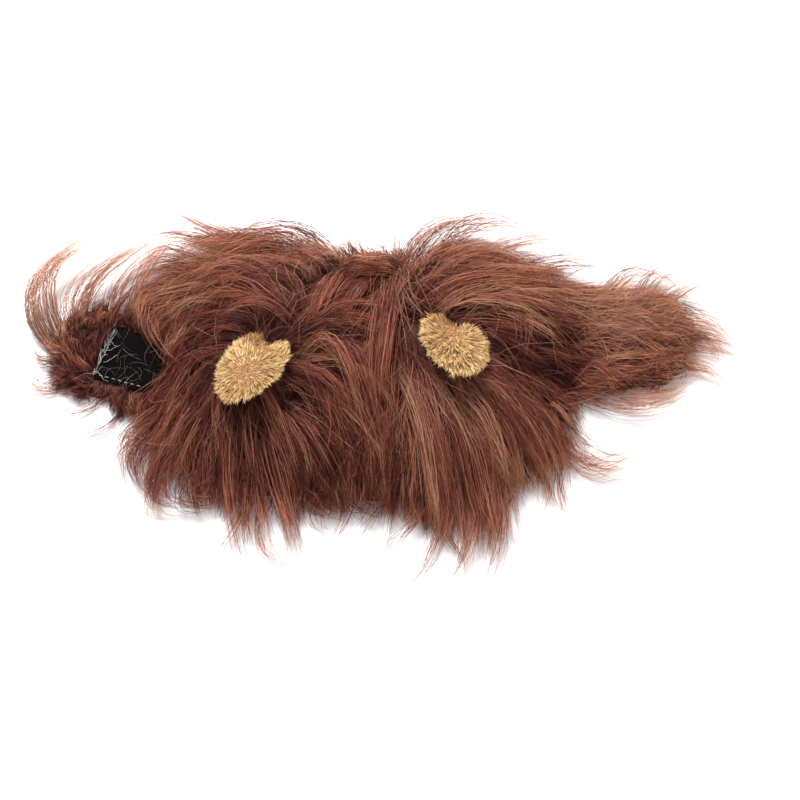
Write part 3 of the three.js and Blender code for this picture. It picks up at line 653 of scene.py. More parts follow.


# The undercoat's negative shade is painted shade: hair deep in the coat is darker, as the gaps between
# locks lie in shade.
UNDERCOAT = {
    "locks": 210, "hairs": 22, "radius": 5 * MM, "steps": 4,
    "length": 0.6, "lift": 0.35, "shade": -0.28, "tilt": 14,
}
TOPCOAT = {
    "locks": 620, "hairs": 20, "radius": 4.5 * MM, "steps": 5,
    "length": 1.0, "lift": 1.0, "shade": 0.0, "tilt": 8,
}
FRIZZ_HAIRS, RIM_HAIRS = 2100, 1300
FRIZZ_LOOSE, RIM_LOOSE = 8, 30  # pixels that they may pass the outline by
crown_hairs = [
    locks_of_hair(random_roots(UNDERCOAT["locks"], on_crown), crown_guides, UNDERCOAT),
    locks_of_hair(random_roots(TOPCOAT["locks"], on_crown), crown_guides, TOPCOAT),
    together(
        frizz(random_roots(FRIZZ_HAIRS, on_crown), crown_guides, FRIZZ_LOOSE),
        frizz(random_roots(RIM_HAIRS, on_rim), crown_guides, RIM_LOOSE),
    ),
]
print("crown hairs below, above and stray:", [len(paths) for paths, _ in crown_hairs])

# %% [markdown]
# The photo's strongest locks are drawn one by one over the combed fur. Each row gives the root, the
# middle and the tip in pixels, how many hairs the lock has, how wide it is at its root, how high its
# middle and its tip float over what is below, and its shade. Shade is the fur's own tone with painted
# light and shade in it: locks on top and along the face edge are lighter, locks in hollows and under
# the nape's edge darker.

# %% Locks drawn one by one
CROWN_LOCKS = [
    # name, root, middle, tip, hairs, width mm, middle lift mm, tip lift mm, shade
    ("crest_loop_1", (334, 262), (276, 229), (206, 268), 50, 12, 14, 8, 0.70),
    ("crest_loop_2", (326, 282), (262, 240), (178, 300), 50, 12, 13, 7, 0.62),
    ("crest_loop_3", (300, 322), (236, 262), (152, 304), 50, 12, 12, 8, 0.58),
    ("crest_loop_4", (296, 262), (248, 236), (190, 252), 50, 12, 12, 9, 0.72),
    ("crest_loop_5", (270, 262), (222, 236), (172, 262), 44, 12, 11, 8, 0.72),
    ("left_top_wisp_1", (262, 254), (214, 231), (158, 206), 34, 6, 11, 9, 0.80),
    ("left_top_wisp_2", (240, 262), (188, 236), (148, 240), 30, 9, 10, 8, 0.78),
    ("left_top_wisp_3", (210, 275), (164, 252), (132, 284), 34, 10, 10, 8, 0.78),
    ("over_patch_1", (200, 300), (150, 318), (186, 368), 26, 9, 12, 7, 0.60),
    ("over_patch_2", (188, 300), (146, 296), (146, 340), 26, 9, 12, 9, 0.70),
    ("left_ear_edge", (300, 334), (262, 300), (214, 318), 34, 9, 14, 9, 0.52),
    ("fountain_1", (288, 392), (332, 340), (368, 472), 34, 7, 17, 8, 0.70),
    ("fountain_2", (298, 380), (344, 346), (360, 438), 26, 7, 17, 9, 0.54),
    ("fountain_3", (310, 372), (352, 350), (384, 482), 26, 7, 16, 9, 0.50),
    ("below_left_ear_1", (238, 412), (228, 480), (243, 572), 44, 9, 11, 3, 0.58),
    ("below_left_ear_2", (262, 412), (280, 492), (303, 566), 44, 10, 11, 3, 0.58),
    ("below_left_ear_3", (280, 404), (312, 440), (344, 500), 30, 8, 11, 6, 0.50),
    ("nape_curl", (262, 500), (262, 548), (304, 566), 10, 5, 4, 2, 0.80),
    ("nape_wisp_left", (246, 500), (226, 540), (200, 556), 8, 5, 4, 2, 0.75),
    ("corner_left_1", (184, 396), (130, 436), (134, 488), 40, 10, 9, 5, 0.54),
    ("corner_left_2", (184, 412), (136, 456), (156, 500), 44, 11, 9, 4, 0.50),
    ("corner_left_3", (186, 440), (156, 490), (196, 504), 44, 11, 9, 3, 0.48),
    ("corner_left_4", (182, 404), (134, 430), (122, 462), 30, 10, 8, 5, 0.64),
    ("corner_left_5", (196, 456), (186, 500), (228, 500), 40, 10, 8, 3, 0.46),
    ("corner_wisp_1", (180, 420), (120, 452), (120, 492), 12, 8, 7, 2, 0.88),
    ("corner_wisp_2", (184, 450), (150, 508), (200, 514), 14, 8, 6, 2, 0.85),
    ("middle_lock_1", (398, 258), (386, 330), (376, 412), 46, 10, 13, 8, 0.60),
    ("middle_lock_2", (392, 290), (374, 350), (380, 440), 30, 8, 12, 7, 0.42),
    ("centre_tuft_1", (362, 272), (350, 248), (352, 242), 34, 9, 26, 26, 0.80),
    ("centre_tuft_2", (374, 272), (372, 254), (362, 250), 30, 8, 24, 24, 0.76),
    ("centre_tuft_3", (386, 272), (384, 254), (374, 252), 30, 8, 24, 24, 0.74),
    ("bright_lock_1", (394, 362), (424, 432), (440, 544), 44, 8, 15, 4, 0.82),
    ("bright_lock_2", (404, 362), (440, 440), (452, 520), 34, 8, 15, 5, 0.70),
    ("nape_tail_1", (448, 470), (432, 550), (400, 586), 22, 8, 6, 2, 0.74),
    ("nape_tail_2", (468, 450), (470, 530), (448, 586), 32, 10, 9, 2, 0.66),
    ("nape_tail_3", (486, 450), (500, 520), (484, 584), 32, 10, 9, 2, 0.60),
    ("nape_tail_4", (430, 460), (414, 516), (380, 552), 26, 10, 8, 2, 0.60),
    ("nape_tail_5", (500, 440), (512, 500), (522, 560), 12, 7, 7, 2, 0.70),
    ("nape_wisp_1", (350, 480), (344, 520), (322, 544), 10, 10, 5, 2, 0.74),
    ("nape_wisp_2", (380, 480), (372, 520), (352, 538), 12, 12, 5, 2, 0.66),
    ("nape_wisp_3", (396, 480), (390, 530), (384, 574), 8, 8, 5, 2, 0.70),
    ("nape_wisp_4", (318, 480), (312, 516), (326, 534), 12, 12, 5, 2, 0.66),
    ("right_tuft_1", (404, 306), (420, 240), (496, 222), 60, 10, 13, 9, 0.66),
    ("right_tuft_2", (398, 296), (396, 250), (408, 214), 8, 5, 10, 10, 0.80),
    ("right_tuft_3", (430, 290), (470, 252), (556, 280), 44, 11, 13, 8, 0.68),
    ("right_tuft_4", (438, 264), (484, 220), (544, 242), 30, 10, 12, 9, 0.80),
    ("right_tuft_5", (470, 266), (520, 244), (566, 240), 28, 10, 11, 9, 0.80),
    ("right_tuft_6", (424, 318), (470, 280), (572, 286), 44, 11, 14, 8, 0.62),
    ("right_tuft_7", (420, 276), (452, 232), (524, 236), 26, 11, 12, 9, 0.78),
    ("right_tuft_8", (520, 276), (566, 262), (608, 276), 26, 11, 10, 8, 0.78),
    ("right_hollow_fall", (512, 300), (524, 328), (520, 362), 14, 10, 12, 6, 0.42),
    ("below_right_ear_1", (452, 380), (522, 424), (548, 492), 50, 11, 13, 6, 0.58),
    ("below_right_ear_2", (484, 386), (548, 424), (566, 506), 36, 11, 12, 3, 0.58),
    ("below_right_ear_3", (500, 440), (544, 476), (536, 522), 18, 7, 8, 2, 0.65),
    ("nape_right_1", (446, 392), (484, 460), (500, 556), 46, 10, 13, 4, 0.62),
    ("nape_right_2", (430, 388), (462, 450), (484, 540), 40, 10, 14, 5, 0.52),
    ("flank_curl_1", (556, 396), (596, 456), (660, 424), 26, 16, 8, 5, 0.80),
    ("flank_curl_2", (552, 410), (586, 468), (634, 440), 24, 14, 7, 4, 0.80),
    ("flank_curl_3", (544, 430), (600, 472), (628, 462), 16, 10, 7, 3, 0.80),
    ("flank_wisp", (575, 388), (640, 408), (694, 384), 34, 14, 8, 6, 0.80),
    ("left_gap_1", (212, 288), (172, 270), (138, 300), 40, 12, 9, 7, 0.60),
    ("left_gap_2", (216, 300), (176, 286), (144, 316), 30, 12, 9, 7, 0.56),
    ("below_left_ear_4", (252, 430), (256, 500), (264, 556), 30, 14, 9, 2, 0.62),
    ("below_left_ear_5", (276, 440), (286, 500), (292, 548), 24, 12, 9, 2, 0.62),
    ("nape_veil", (262, 480), (274, 530), (286, 566), 16, 20, 6, 2, 0.85),
    ("nape_rim_1", (306, 476), (318, 508), (346, 514), 30, 12, 7, 3, 0.34),
    ("nape_rim_2", (350, 480), (362, 508), (388, 513), 30, 12, 7, 3, 0.34),
    ("nape_rim_3", (332, 472), (326, 504), (312, 515), 26, 12, 7, 3, 0.36),
    ("face_rim_1", (338, 274), (366, 262), (398, 266), 44, 9, 20, 20, 0.66),
    ("face_rim_2", (402, 272), (380, 258), (350, 258), 50, 9, 24, 22, 0.76),
    ("face_rim_3", (398, 280), (376, 268), (344, 272), 44, 9, 18, 16, 0.56),
    ("face_rim_4", (344, 282), (370, 270), (400, 276), 30, 9, 16, 14, 0.56),
    ("rim_fall_1", (356, 266), (334, 282), (316, 322), 44, 12, 15, 9, 0.56),
    ("rim_fall_2", (374, 266), (354, 284), (330, 326), 36, 12, 14, 8, 0.40),
    ("rim_fall_3", (388, 266), (386, 288), (378, 322), 36, 12, 15, 8, 0.46),
    ("low_spray", (560, 470), (560, 498), (568, 516), 14, 8, 5, 2, 0.75),
]
HOOK_STRAP_LOCKS = [
    ("curl_1", (60, 350), (36, 286), (114, 228), 70, 9, 10, 14, 0.92),
    ("curl_2", (66, 346), (50, 282), (92, 238), 40, 8, 9, 12, 0.90),
    ("curl_3", (86, 330), (98, 280), (168, 233), 60, 9, 9, 12, 0.88),
    ("curl_4", (76, 334), (76, 286), (142, 243), 30, 9, 9, 12, 0.90),
    ("curl_5", (112, 322), (124, 278), (174, 238), 30, 9, 8, 12, 0.84),
    ("curl_6", (128, 322), (142, 278), (180, 225), 24, 9, 8, 12, 0.82),
    ("end_curl", (60, 356), (40, 360), (36, 338), 12, 4, 4, 5, 0.90),
    ("end_wisp_1", (66, 372), (42, 384), (22, 366), 14, 6, 4, 4, 0.90),
    ("end_wisp_2", (66, 388), (44, 392), (26, 380), 12, 6, 3, 3, 0.85),
    ("low_wisp_1", (100, 402), (76, 412), (50, 410), 10, 6, 3, 2, 0.80),
    ("low_wisp_2", (124, 412), (100, 432), (76, 436), 12, 6, 3, 2, 0.75),
    ("curl_7", (140, 318), (142, 284), (158, 240), 14, 9, 8, 12, 0.85),
]
LOOP_STRAP_LOCKS = [
    ("tip_1", (664, 318), (700, 324), (732, 346), 40, 12, 6, 4, 0.85),
    ("tip_2", (664, 304), (690, 288), (712, 278), 20, 10, 6, 6, 0.88),
    ("tip_3", (664, 345), (706, 344), (746, 360), 36, 12, 5, 3, 0.85),
    ("tip_4", (652, 366), (698, 368), (728, 388), 26, 12, 5, 2, 0.85),
    ("tip_5", (670, 330), (706, 338), (716, 360), 30, 10, 6, 3, 0.80),
    ("tip_6", (660, 355), (694, 366), (708, 374), 30, 10, 6, 3, 0.78),
    ("tip_stray", (680, 305), (716, 318), (750, 342), 8, 6, 6, 3, 0.88),
    ("top_curl_1", (640, 300), (662, 274), (688, 296), 22, 10, 6, 5, 0.80),
    ("top_curl_2", (604, 300), (634, 272), (664, 284), 22, 10, 7, 5, 0.80),
    ("low_fringe_1", (620, 368), (664, 384), (702, 366), 26, 10, 5, 3, 0.78),
    ("low_fringe_2", (600, 372), (640, 396), (684, 384), 22, 10, 5, 3, 0.78),
    ("low_cover_1", (600, 362), (640, 362), (682, 358), 44, 16, 8, 4, 0.66),
    ("low_cover_2", (612, 374), (650, 376), (688, 370), 34, 10, 6, 3, 0.62),
]


# %% [markdown]
# A drawn lock is a bundle of arcs through its three places. Its hairs spread round the root, come
# together towards the tip, and end at different lengths. The arc floats over the cloth by the row's
# lifts, but a hair never falls faster than combed hair does.

# %% Hairs of the drawn locks
CREST_WIDTH = 0.85  # of a lock at its middle, as a share of its width at the root
TIP_WIDTHS = (0.15, 0.55)  # the same at its tip, least and most
LOOSE_TIPS = 0.2  # share of a lock's hairs whose tips spread as wide as their roots
CREST_SCATTER = 1.0 * MM
TIP_SCATTER = 1.4 * MM
LONGEST, SHORTER = 1.04, 0.32  # the longest hair's share of the arc, and how much shorter some are
ARC_HEIGHTS = (0.75, 1.1)  # least and most share of the arc's height
HIGHEST = 1.15  # share of the higher lift that no hair passes
DRAWN_CURL = 1.2 * MM
DRAWN_DARKER, DRAWN_SHADE = 0.04, 0.17
CROWN_LOCK_STEPS = 7
STRAP_LOCK_STEPS = 8


def drawn_locks(rows, steps):
    """Hairs of the locks in a table, and their shades."""
    paths = []
    shades = []
    share = np.linspace(0, 1, steps + 1)
    for _, root, middle, tip, count, width, middle_lift, tip_lift, shade in rows:
        places = [place_of(p, h * MM)[0] for p, h in ((root, 0), (middle, middle_lift), (tip, tip_lift))]
        turn = rng.uniform(0, 2 * math.pi, count)
        far = np.sqrt(rng.uniform(0, 1, count))
        around = np.stack([np.cos(turn) * far, np.sin(turn) * far], axis=1) * width / 2 * MM
        loose = rng.uniform(size=count) < LOOSE_TIPS
        tip_width = np.where(loose, 1.0, rng.uniform(*TIP_WIDTHS, count))[:, None]
        start = places[0][:2] + around
        crest = places[1][:2] + around * CREST_WIDTH + rng.normal(size=(count, 2)) * CREST_SCATTER
        end = places[2][:2] + around * tip_width + rng.normal(size=(count, 2)) * TIP_SCATTER
        bend = 2 * crest - 0.5 * (start + end)
        reach = LONGEST - SHORTER * rng.uniform(0, 1, count) ** 1.5
        t = share[None, :, None] * reach[:, None, None]
        flat = start[:, None] * (1 - t) ** 2 + 2 * bend[:, None] * t * (1 - t) + end[:, None] * t**2
        t = t[:, :, 0]
        arc = 4 * t * (1 - t) * middle_lift + t * t * tip_lift
        over = arc * MM * rng.uniform(*ARC_HEIGHTS, count)[:, None]
        over = np.minimum(over, max(middle_lift, tip_lift) * HIGHEST * MM)
        z = read_map(bed_map, flat[:, :, 0], flat[:, :, 1]) + over
        z[:, 0] = read_map(cloth_map, flat[:, 0, 0], flat[:, 0, 1])
        z = np.maximum(z, TABLE_CLEARANCE)
        for i in range(1, steps + 1):
            run = np.linalg.norm(flat[:, i] - flat[:, i - 1], axis=1)
            z[:, i] = np.maximum(z[:, i], z[:, i - 1] - STEEPEST_FALL * run)
        paths.append(curl(np.concatenate([flat, z[:, :, None]], axis=2), DRAWN_CURL))
        shades.append(shade - DRAWN_DARKER + DRAWN_SHADE * rng.normal(size=count))
    return np.concatenate(paths), np.concatenate(shades)


crown_hairs.append(drawn_locks(CROWN_LOCKS, CROWN_LOCK_STEPS))
print("drawn locks on the crown:", len(CROWN_LOCKS), "with", len(crown_hairs[-1][0]), "hairs")

# %% [markdown]
# A hair becomes a closed three-sided blade that tapers to its tip. A particle system could grow them
# too, but hairs made from arrays are plain meshes that any viewer shows. The UV map holds the shade
# of the hair in U and the way from root to tip in V, so one material can colour every hair. Each of a
# blade's three sides has a shade of its own, so from afar one blade looks like two finer hairs.

# %% Hairs to a mesh
SHADES = 48  # columns of the palette in U
COLUMN_SIDES = (0.2, 0.8)  # shares of a column that a side's two edges get, its tip in the middle
ENDS_OF_V = 0.01  # kept free of V's range, at the root and at the tip
CORNER_ANGLES = np.radians((90, 210, 330))
ALMOST_UP = np.array([0.05, 0.03, 1.0])  # not quite upright, so an upright hair has a side as well


def linked(name, mesh):
    """An object of the scene with a mesh."""
    piece = bpy.data.objects.new(name, mesh)
    bpy.context.scene.collection.objects.link(piece)
    return piece


def hair_mesh(name, paths, shades, width, taper=2.5, blunt=0.12, two_tone=0.08):
    """One object with all the hairs of these paths.

    width is one number or one for each hair, a higher taper keeps a hair wide for longer, blunt is the
    tip's share of the width, and two_tone is how much the shades of a hair's three sides differ.
    """
    count, rings, _ = paths.shape
    steps = rings - 1
    each = 3 * steps + 1
    tangent = unit(np.gradient(paths, axis=1))
    side = unit(np.cross(tangent, ALMOST_UP))
    over = np.cross(side, tangent)
    share = np.linspace(0, 1, rings)
    radius = 0.5 * np.reshape(width, (-1, 1)) * (1 - (1 - blunt) * share**taper)[None, :]
    rim = []
    for angle in CORNER_ANGLES:
        around = side[:, :-1] * math.cos(angle) + over[:, :-1] * math.sin(angle)
        rim.append(paths[:, :-1] + around * radius[:, :-1, None])
    rim = np.stack(rim, axis=2).reshape(count, steps * 3, 3)
    points = np.concatenate([rim, paths[:, -1:]], axis=1).reshape(-1, 3)
    quads = []
    for ring in range(steps - 1):
        for k in range(3):
            a = 3 * ring + k
            b = 3 * ring + (k + 1) % 3
            quads.append([a, b, b + 3, a + 3])
    last = 3 * (steps - 1)
    triangles = [[last + k, last + (k + 1) % 3, 3 * steps] for k in range(3)] + [[0, 2, 1]]
    first = (np.arange(count) * each)[:, None, None]
    quad_corners = (np.array(quads, dtype=int).reshape(-1, 4)[None] + first).reshape(-1)
    triangle_corners = (np.array(triangles)[None] + first).reshape(-1)
    corners = np.concatenate([quad_corners, triangle_corners]).astype(np.int32)
    sizes = np.concatenate([np.full(len(quads) * count, 4), np.full(len(triangles) * count, 3)])
    starts = np.concatenate([[0], np.cumsum(sizes)[:-1]]).astype(np.int32)
    mesh = bpy.data.meshes.new(name)
    mesh.vertices.add(len(points))
    mesh.vertices.foreach_set("co", points.astype(np.float32).ravel())
    mesh.loops.add(len(corners))
    mesh.loops.foreach_set("vertex_index", corners)
    mesh.polygons.add(len(starts))
    mesh.polygons.foreach_set("loop_start", starts)
    mesh.update(calc_edges=True)
    mesh.polygons.foreach_set("use_smooth", np.ones(len(starts), dtype=bool))
    face_shades = shades[:, None] + two_tone * rng.normal(size=(count, 3))
    column = np.clip((face_shades * SHADES).astype(int), 0, SHADES - 1)
    ring_v = np.repeat(np.arange(steps - 1), 3)[:, None] + np.array([0, 0, 1, 1])
    quad_v = np.tile(ring_v.ravel() / steps, count)
    near, far = COLUMN_SIDES
    quad_u = column[:, np.repeat(np.tile([0, 1, 2], steps - 1), 4)]
    quad_u = quad_u + np.tile([near, far, far, near], len(quads))
    below_tip = (steps - 1) / steps
    root_face = [0.0, 0.0, 0.02]
    triangle_v = np.tile([below_tip, below_tip, 1.0] * 3 + root_face, count)
    triangle_u = column[:, np.repeat([0, 1, 2, 0], 3)] + np.tile([near, far, 0.5], 4)
    u = np.concatenate([quad_u.ravel(), triangle_u.ravel()]) / SHADES
    v = ENDS_OF_V + (1 - 2 * ENDS_OF_V) * np.concatenate([quad_v, triangle_v])
    layer = mesh.uv_layers.new(name="OFBake")
    layer.data.foreach_set("uv", np.stack([u, v], axis=1).astype(np.float32).ravel())
    print(name, "hairs", count, "triangles", (2 * len(quads) + len(triangles)) * count)
    return linked(name, mesh)


def add_piece(piece, material, replaced=None):
    """Gives a piece its finish, its body, and the frame's nodes that it replaces."""
    piece.data.materials.append(material)
    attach(piece, "root")
    if replaced:
        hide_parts(*replaced)


# %% [markdown]
# Fur and plush share one kind of finish. The shade of the hair picks a colour from a ramp, and a
# second ramp paints light along the hair: painted shade darkens the root, where little light gets in,
# and painted light lightens the thin tip, which light shines through.

# %% Hair finish
def ramp(tree, stops, source):
    """A colour ramp from (position, colour) stops, fed by a socket."""
    node = tree.nodes.new("ShaderNodeValToRGB")
    while len(node.color_ramp.elements) < len(stops):
        node.color_ramp.elements.new(0.5)
    for element, (position, colour) in zip(node.color_ramp.elements, stops):
        element.position = position
        element.color = (*colour, 1)
    tree.links.new(source, node.inputs["Fac"])
    return node.outputs["Color"]


def multiplied(tree, first, second):
    """The product of two colours."""
    node = tree.nodes.new("ShaderNodeMix")
    node.data_type = "RGBA"
    node.blend_type = "MULTIPLY"
    node.inputs["Factor"].default_value = 1.0
    tree.links.new(first, node.inputs["A"])
    tree.links.new(second, node.inputs["B"])
    return node.outputs["Result"]


def hair_finish(name, shades, light_root_to_tip, roughness, specular):
    """A finish for hairs, from a ramp of shades and a ramp of painted shade and light from root to tip."""
    material, tree, shader = plain_material(name, roughness, specular)
    uv = tree.nodes.new("ShaderNodeUVMap")
    uv.uv_map = "OFBake"
    split = tree.nodes.new("ShaderNodeSeparateXYZ")
    tree.links.new(uv.outputs["UV"], split.inputs["Vector"])
    shade = ramp(tree, shades, split.outputs["X"])
    painted_light = ramp(tree, light_root_to_tip, split.outputs["Y"])
    tree.links.new(multiplied(tree, shade, painted_light), shader.inputs["Base Color"])
    print(name, "has", len(shades), "shades")
    return material


fur_shades = [
    (0.0, (0.024, 0.006, 0.007)),
    (0.2, (0.070, 0.015, 0.013)),
    (0.45, (0.235, 0.061, 0.044)),
    (0.7, (0.500, 0.172, 0.106)),
    (0.85, (0.640, 0.297, 0.182)),
    (0.95, (0.705, 0.378, 0.222)),
    (1.0, (0.745, 0.440, 0.285)),
]
# Painted shade at the root, and painted light at the tip, which also turns golden there.
fur_root_to_tip = [
    (0.0, (0.20, 0.17, 0.18)),
    (0.35, (0.70, 0.68, 0.70)),
    (0.75, (1.12, 1.11, 1.08)),
    (1.0, (1.18, 1.48, 1.10)),
]
fur_finish = hair_finish("fur_brown_hair", fur_shades, fur_root_to_tip, roughness=0.45, specular=0.15)

# %% [markdown]
# A mesh of a million triangles is slow to open and to export, so the crown's fur is split into zones
# from the hook strap's side to the loop strap's, with about as many triangles each.

# %% Crown fur
FUR_WIDTH = 0.28 * MM
ZONES = 5
LAYER_WIDTHS = (1.2, 1.0, 0.6, 1.05)  # shares of FUR_WIDTH of the under, top, stray and drawn hairs
CROWN_WIDTHS = (0.7, 1.25)  # least and most share of its layer's width that a hair has
STRAP_WIDTHS = (0.7, 1.2)  # the same on the straps and the ears


def zone_edges(all_hairs):
    """Values of x that split the roots of all hairs into zones with about as many triangles each."""
    x = np.concatenate([paths[:, 0, 0] for paths, _ in all_hairs])
    weight = np.concatenate([np.full(len(paths), 6 * paths.shape[1]) for paths, _ in all_hairs])
    order = np.argsort(x)
    sums = np.cumsum(weight[order])
    cuts = [x[order][np.searchsorted(sums, sums[-1] * k / ZONES)] for k in range(1, ZONES)]
    return [-np.inf, *cuts, np.inf]


def joined(name, pieces):
    """Several meshes joined into the first, which gets a new name."""
    bpy.ops.object.select_all(action="DESELECT")
    for piece in pieces:
        piece.select_set(True)
    bpy.context.view_layer.objects.active = pieces[0]
    if len(pieces) > 1:
        bpy.ops.object.join()
    pieces[0].name = name
    pieces[0].data.name = name
    pieces[0].select_set(False)
    return pieces[0]


edges = zone_edges(crown_hairs)
for zone in range(ZONES):
    parts = []
    for layer, (paths, shades) in enumerate(crown_hairs):
        here = (paths[:, 0, 0] >= edges[zone]) & (paths[:, 0, 0] < edges[zone + 1])
        width = FUR_WIDTH * LAYER_WIDTHS[layer] * rng.uniform(*CROWN_WIDTHS, here.sum())
        parts.append(hair_mesh(f"zone_{zone}_{layer}", paths[here], shades[here], width))
    add_piece(joined(f"crown_fur_{zone + 1}", parts), fur_finish, ["mane_fur"])

# %% [markdown]
# The straps are covered by the same fur, a little shorter and less tidy. Wisps rise and curl off the
# hook strap, and the hair at the loop strap's tip fans out. No fur grows where the tape is sewn on.

# %% Strap fur
HOOK_OVERLAP = 2 * MM  # by which the straps' fur reaches over the crown's ends
LOOP_OVERLAP = 4 * MM


def off_tape(x, y):
    """Whether places lie on the hook strap, clear of the tape."""
    return (x < crown_low[0] + HOOK_OVERLAP) & ~over_tape(x, y)


def on_loop_strap(x, y):
    """Whether places lie on the loop strap."""
    return x > crown_high[0] - LOOP_OVERLAP


# Painted shade here too: the strap's undercoat is darker, as it lies in the shade of the locks over it.
STRAP_UNDERCOAT = {
    "hairs": 20, "radius": 4 * MM, "steps": 4,
    "length": 0.6, "lift": 0.5, "shade": -0.16, "tilt": 16,
}
STRAP_TOPCOAT = {
    "hairs": 18, "radius": 3.5 * MM, "steps": 5,
    "length": 1.0, "lift": 1.0, "shade": 0.0, "tilt": 13,
}
STRAP_LOOSE = 24  # pixels that stray hairs may pass the outline by


def strap_fur(name, allowed, guides, counts, locks):
    """A strap's fur. counts are locks of undercoat, locks of topcoat and stray hairs."""
    under = locks_of_hair(random_roots(counts[0], allowed), guides, STRAP_UNDERCOAT)
    top = locks_of_hair(random_roots(counts[1], allowed), guides, STRAP_TOPCOAT)
    stray = frizz(random_roots(counts[2], allowed), guides, STRAP_LOOSE)
    drawn = drawn_locks(locks, STRAP_LOCK_STEPS)
    parts = []
    for layer, (paths, shades) in enumerate((under, top, stray, drawn)):
        width = FUR_WIDTH * LAYER_WIDTHS[layer] * rng.uniform(*STRAP_WIDTHS, len(paths))
        parts.append(hair_mesh(f"{name}_{layer}", paths, shades, width))
    add_piece(joined(name, parts), fur_finish)


strap_fur("hook_strap_fur", off_tape, hook_guides, (60, 90, 400), HOOK_STRAP_LOCKS)
strap_fur("loop_strap_fur", on_loop_strap, loop_guides, (60, 110, 700), LOOP_STRAP_LOCKS)

# %% [markdown]
# Below the long hair is a mat of short dense wool that hides the cloth. It is a thick sheet over the
# height map, rough and near black: brown wool with painted shade, so a gap between locks looks deep
# and never bald.

# %% Wool mat
MAT_STEP = 2  # grid points of the height map to a cell of the mat
MAT_HEIGHT = 2.2 * MM
MAT_GAP = 0.35 * MM
MAT_EDGE = 1.5 * MM  # where the cloth is lower, the mat ends


def wool_mat(name, allowed):
    """A closed sheet that follows the cloth, from MAT_GAP to MAT_HEIGHT above it."""
    cells = []
    for i in range(0, map_shape[0] - MAT_STEP, MAT_STEP):
        for j in range(0, map_shape[1] - MAT_STEP, MAT_STEP):
            ring = [(i, j), (i + MAT_STEP, j), (i + MAT_STEP, j + MAT_STEP), (i, j + MAT_STEP)]
            places = [map_low + np.array(p) * MAP_STEP for p in ring]
            if all(cloth_map[p] > MAT_EDGE and allowed(*q) for p, q in zip(ring, places)):
                cells.append((ring, places))
    number = {}
    tops = []
    lows = []
    for ring, places in cells:
        for p, q in zip(ring, places):
            if p not in number:
                number[p] = len(tops)
                tops.append((*q, cloth_map[p] + MAT_HEIGHT))
                lows.append((*q, cloth_map[p] + MAT_GAP))
    faces = []
    open_edges = {}
    for ring, _ in cells:
        corners = [number[p] for p in ring]
        faces.append(corners)
        faces.append([c + len(tops) for c in reversed(corners)])
        for a, b in zip(corners, corners[1:] + corners[:1]):
            if (b, a) in open_edges:
                del open_edges[(b, a)]
            else:
                open_edges[(a, b)] = True
    faces += [[b, a, a + len(tops), b + len(tops)] for a, b in open_edges]
    mesh = bpy.data.meshes.new(name)
    mesh.from_pydata(tops + lows, [], faces)
    mesh.polygons.foreach_set("use_smooth", [True] * len(faces))
    print(name, "faces", len(faces))
    return linked(name, mesh)


# %% [markdown]
# Wool and the cloth of the ears have no pattern, only a fine uneven grain. Noise mixes two colours and
# raises the surface a little at the same places.

# %% Grain of wool and ear cloth
def noise_colour(tree, size, low, high):
    """Two colours mixed by noise of a size in metres, in Object coordinates, and the noise itself."""
    place = tree.nodes.new("ShaderNodeTexCoord")
    noise = tree.nodes.new("ShaderNodeTexNoise")
    noise.inputs["Scale"].default_value = 1 / size
    noise.inputs["Detail"].default_value = 4
    tree.links.new(place.outputs["Object"], noise.inputs["Vector"])
    return ramp(tree, [(0.35, low), (0.65, high)], noise.outputs["Fac"]), noise.outputs["Fac"]


def bumped(tree, height, strength, depth):
    """Raises the shader's surface by a height."""
    bump = tree.nodes.new("ShaderNodeBump")
    bump.inputs["Strength"].default_value = strength
    bump.inputs["Distance"].default_value = depth
    tree.links.new(height, bump.inputs["Height"])
    tree.links.new(bump.outputs["Normal"], tree.nodes["Principled BSDF"].inputs["Normal"])


def grained_finish(name, size, colours, roughness, specular, depth):
    """A rough finish whose grain is noise of a size and a depth."""
    material, tree, shader = plain_material(name, roughness, specular)
    colour, height = noise_colour(tree, size, *colours)
    tree.links.new(colour, shader.inputs["Base Color"])
    bumped(tree, height, 0.8, depth)
    print(name, "grain mm", round(size / MM, 1))
    return material


# Painted shade: the wool's brown is darkened to near black, as the mat lies deep in the fur's shade.
wool_shade_colours = ((0.030, 0.010, 0.008), (0.10, 0.034, 0.024))
wool = grained_finish("wool_painted_shade", 1.2 * MM, wool_shade_colours, roughness=0.9, specular=0.2, depth=1.0 * MM)
add_piece(wool_mat("crown_wool", on_crown), wool, ["mane_fur"])
add_piece(wool_mat("hook_strap_wool", off_tape), wool)
add_piece(wool_mat("loop_strap_wool", on_loop_strap), wool)

# %% [markdown]
# The cloth that the fur is knitted into shows only from below. It keeps the frame's solids and gets a
# finish of fine ribs, from waves across and along the piece.

# %% Knitted backing
RIB = 1.6 * MM
WAVE_PERIOD = 0.31  # metres between the bands of a wave texture whose scale is 1


def knit_finish():
    """A dark brown finish with fine ribs both ways."""
    material, tree, shader = plain_material("knitted_backing", roughness=0.85)
    place = tree.nodes.new("ShaderNodeTexCoord")
    heights = []
    for direction in ("X", "Y"):
        wave = tree.nodes.new("ShaderNodeTexWave")
        wave.bands_direction = direction
        wave.inputs["Scale"].default_value = WAVE_PERIOD / RIB
        wave.inputs["Distortion"].default_value = 0.6
        wave.inputs["Detail"].default_value = 1
        tree.links.new(place.outputs["Object"], wave.inputs["Vector"])
        heights.append(wave.outputs["Color"])
    knit = multiplied(tree, *heights)
    colour = ramp(tree, [(0.0, (0.050, 0.020, 0.013)), (0.7, (0.150, 0.062, 0.040))], knit)
    tree.links.new(colour, shader.inputs["Base Color"])
    bumped(tree, knit, 0.6, 0.4 * MM)
    return material


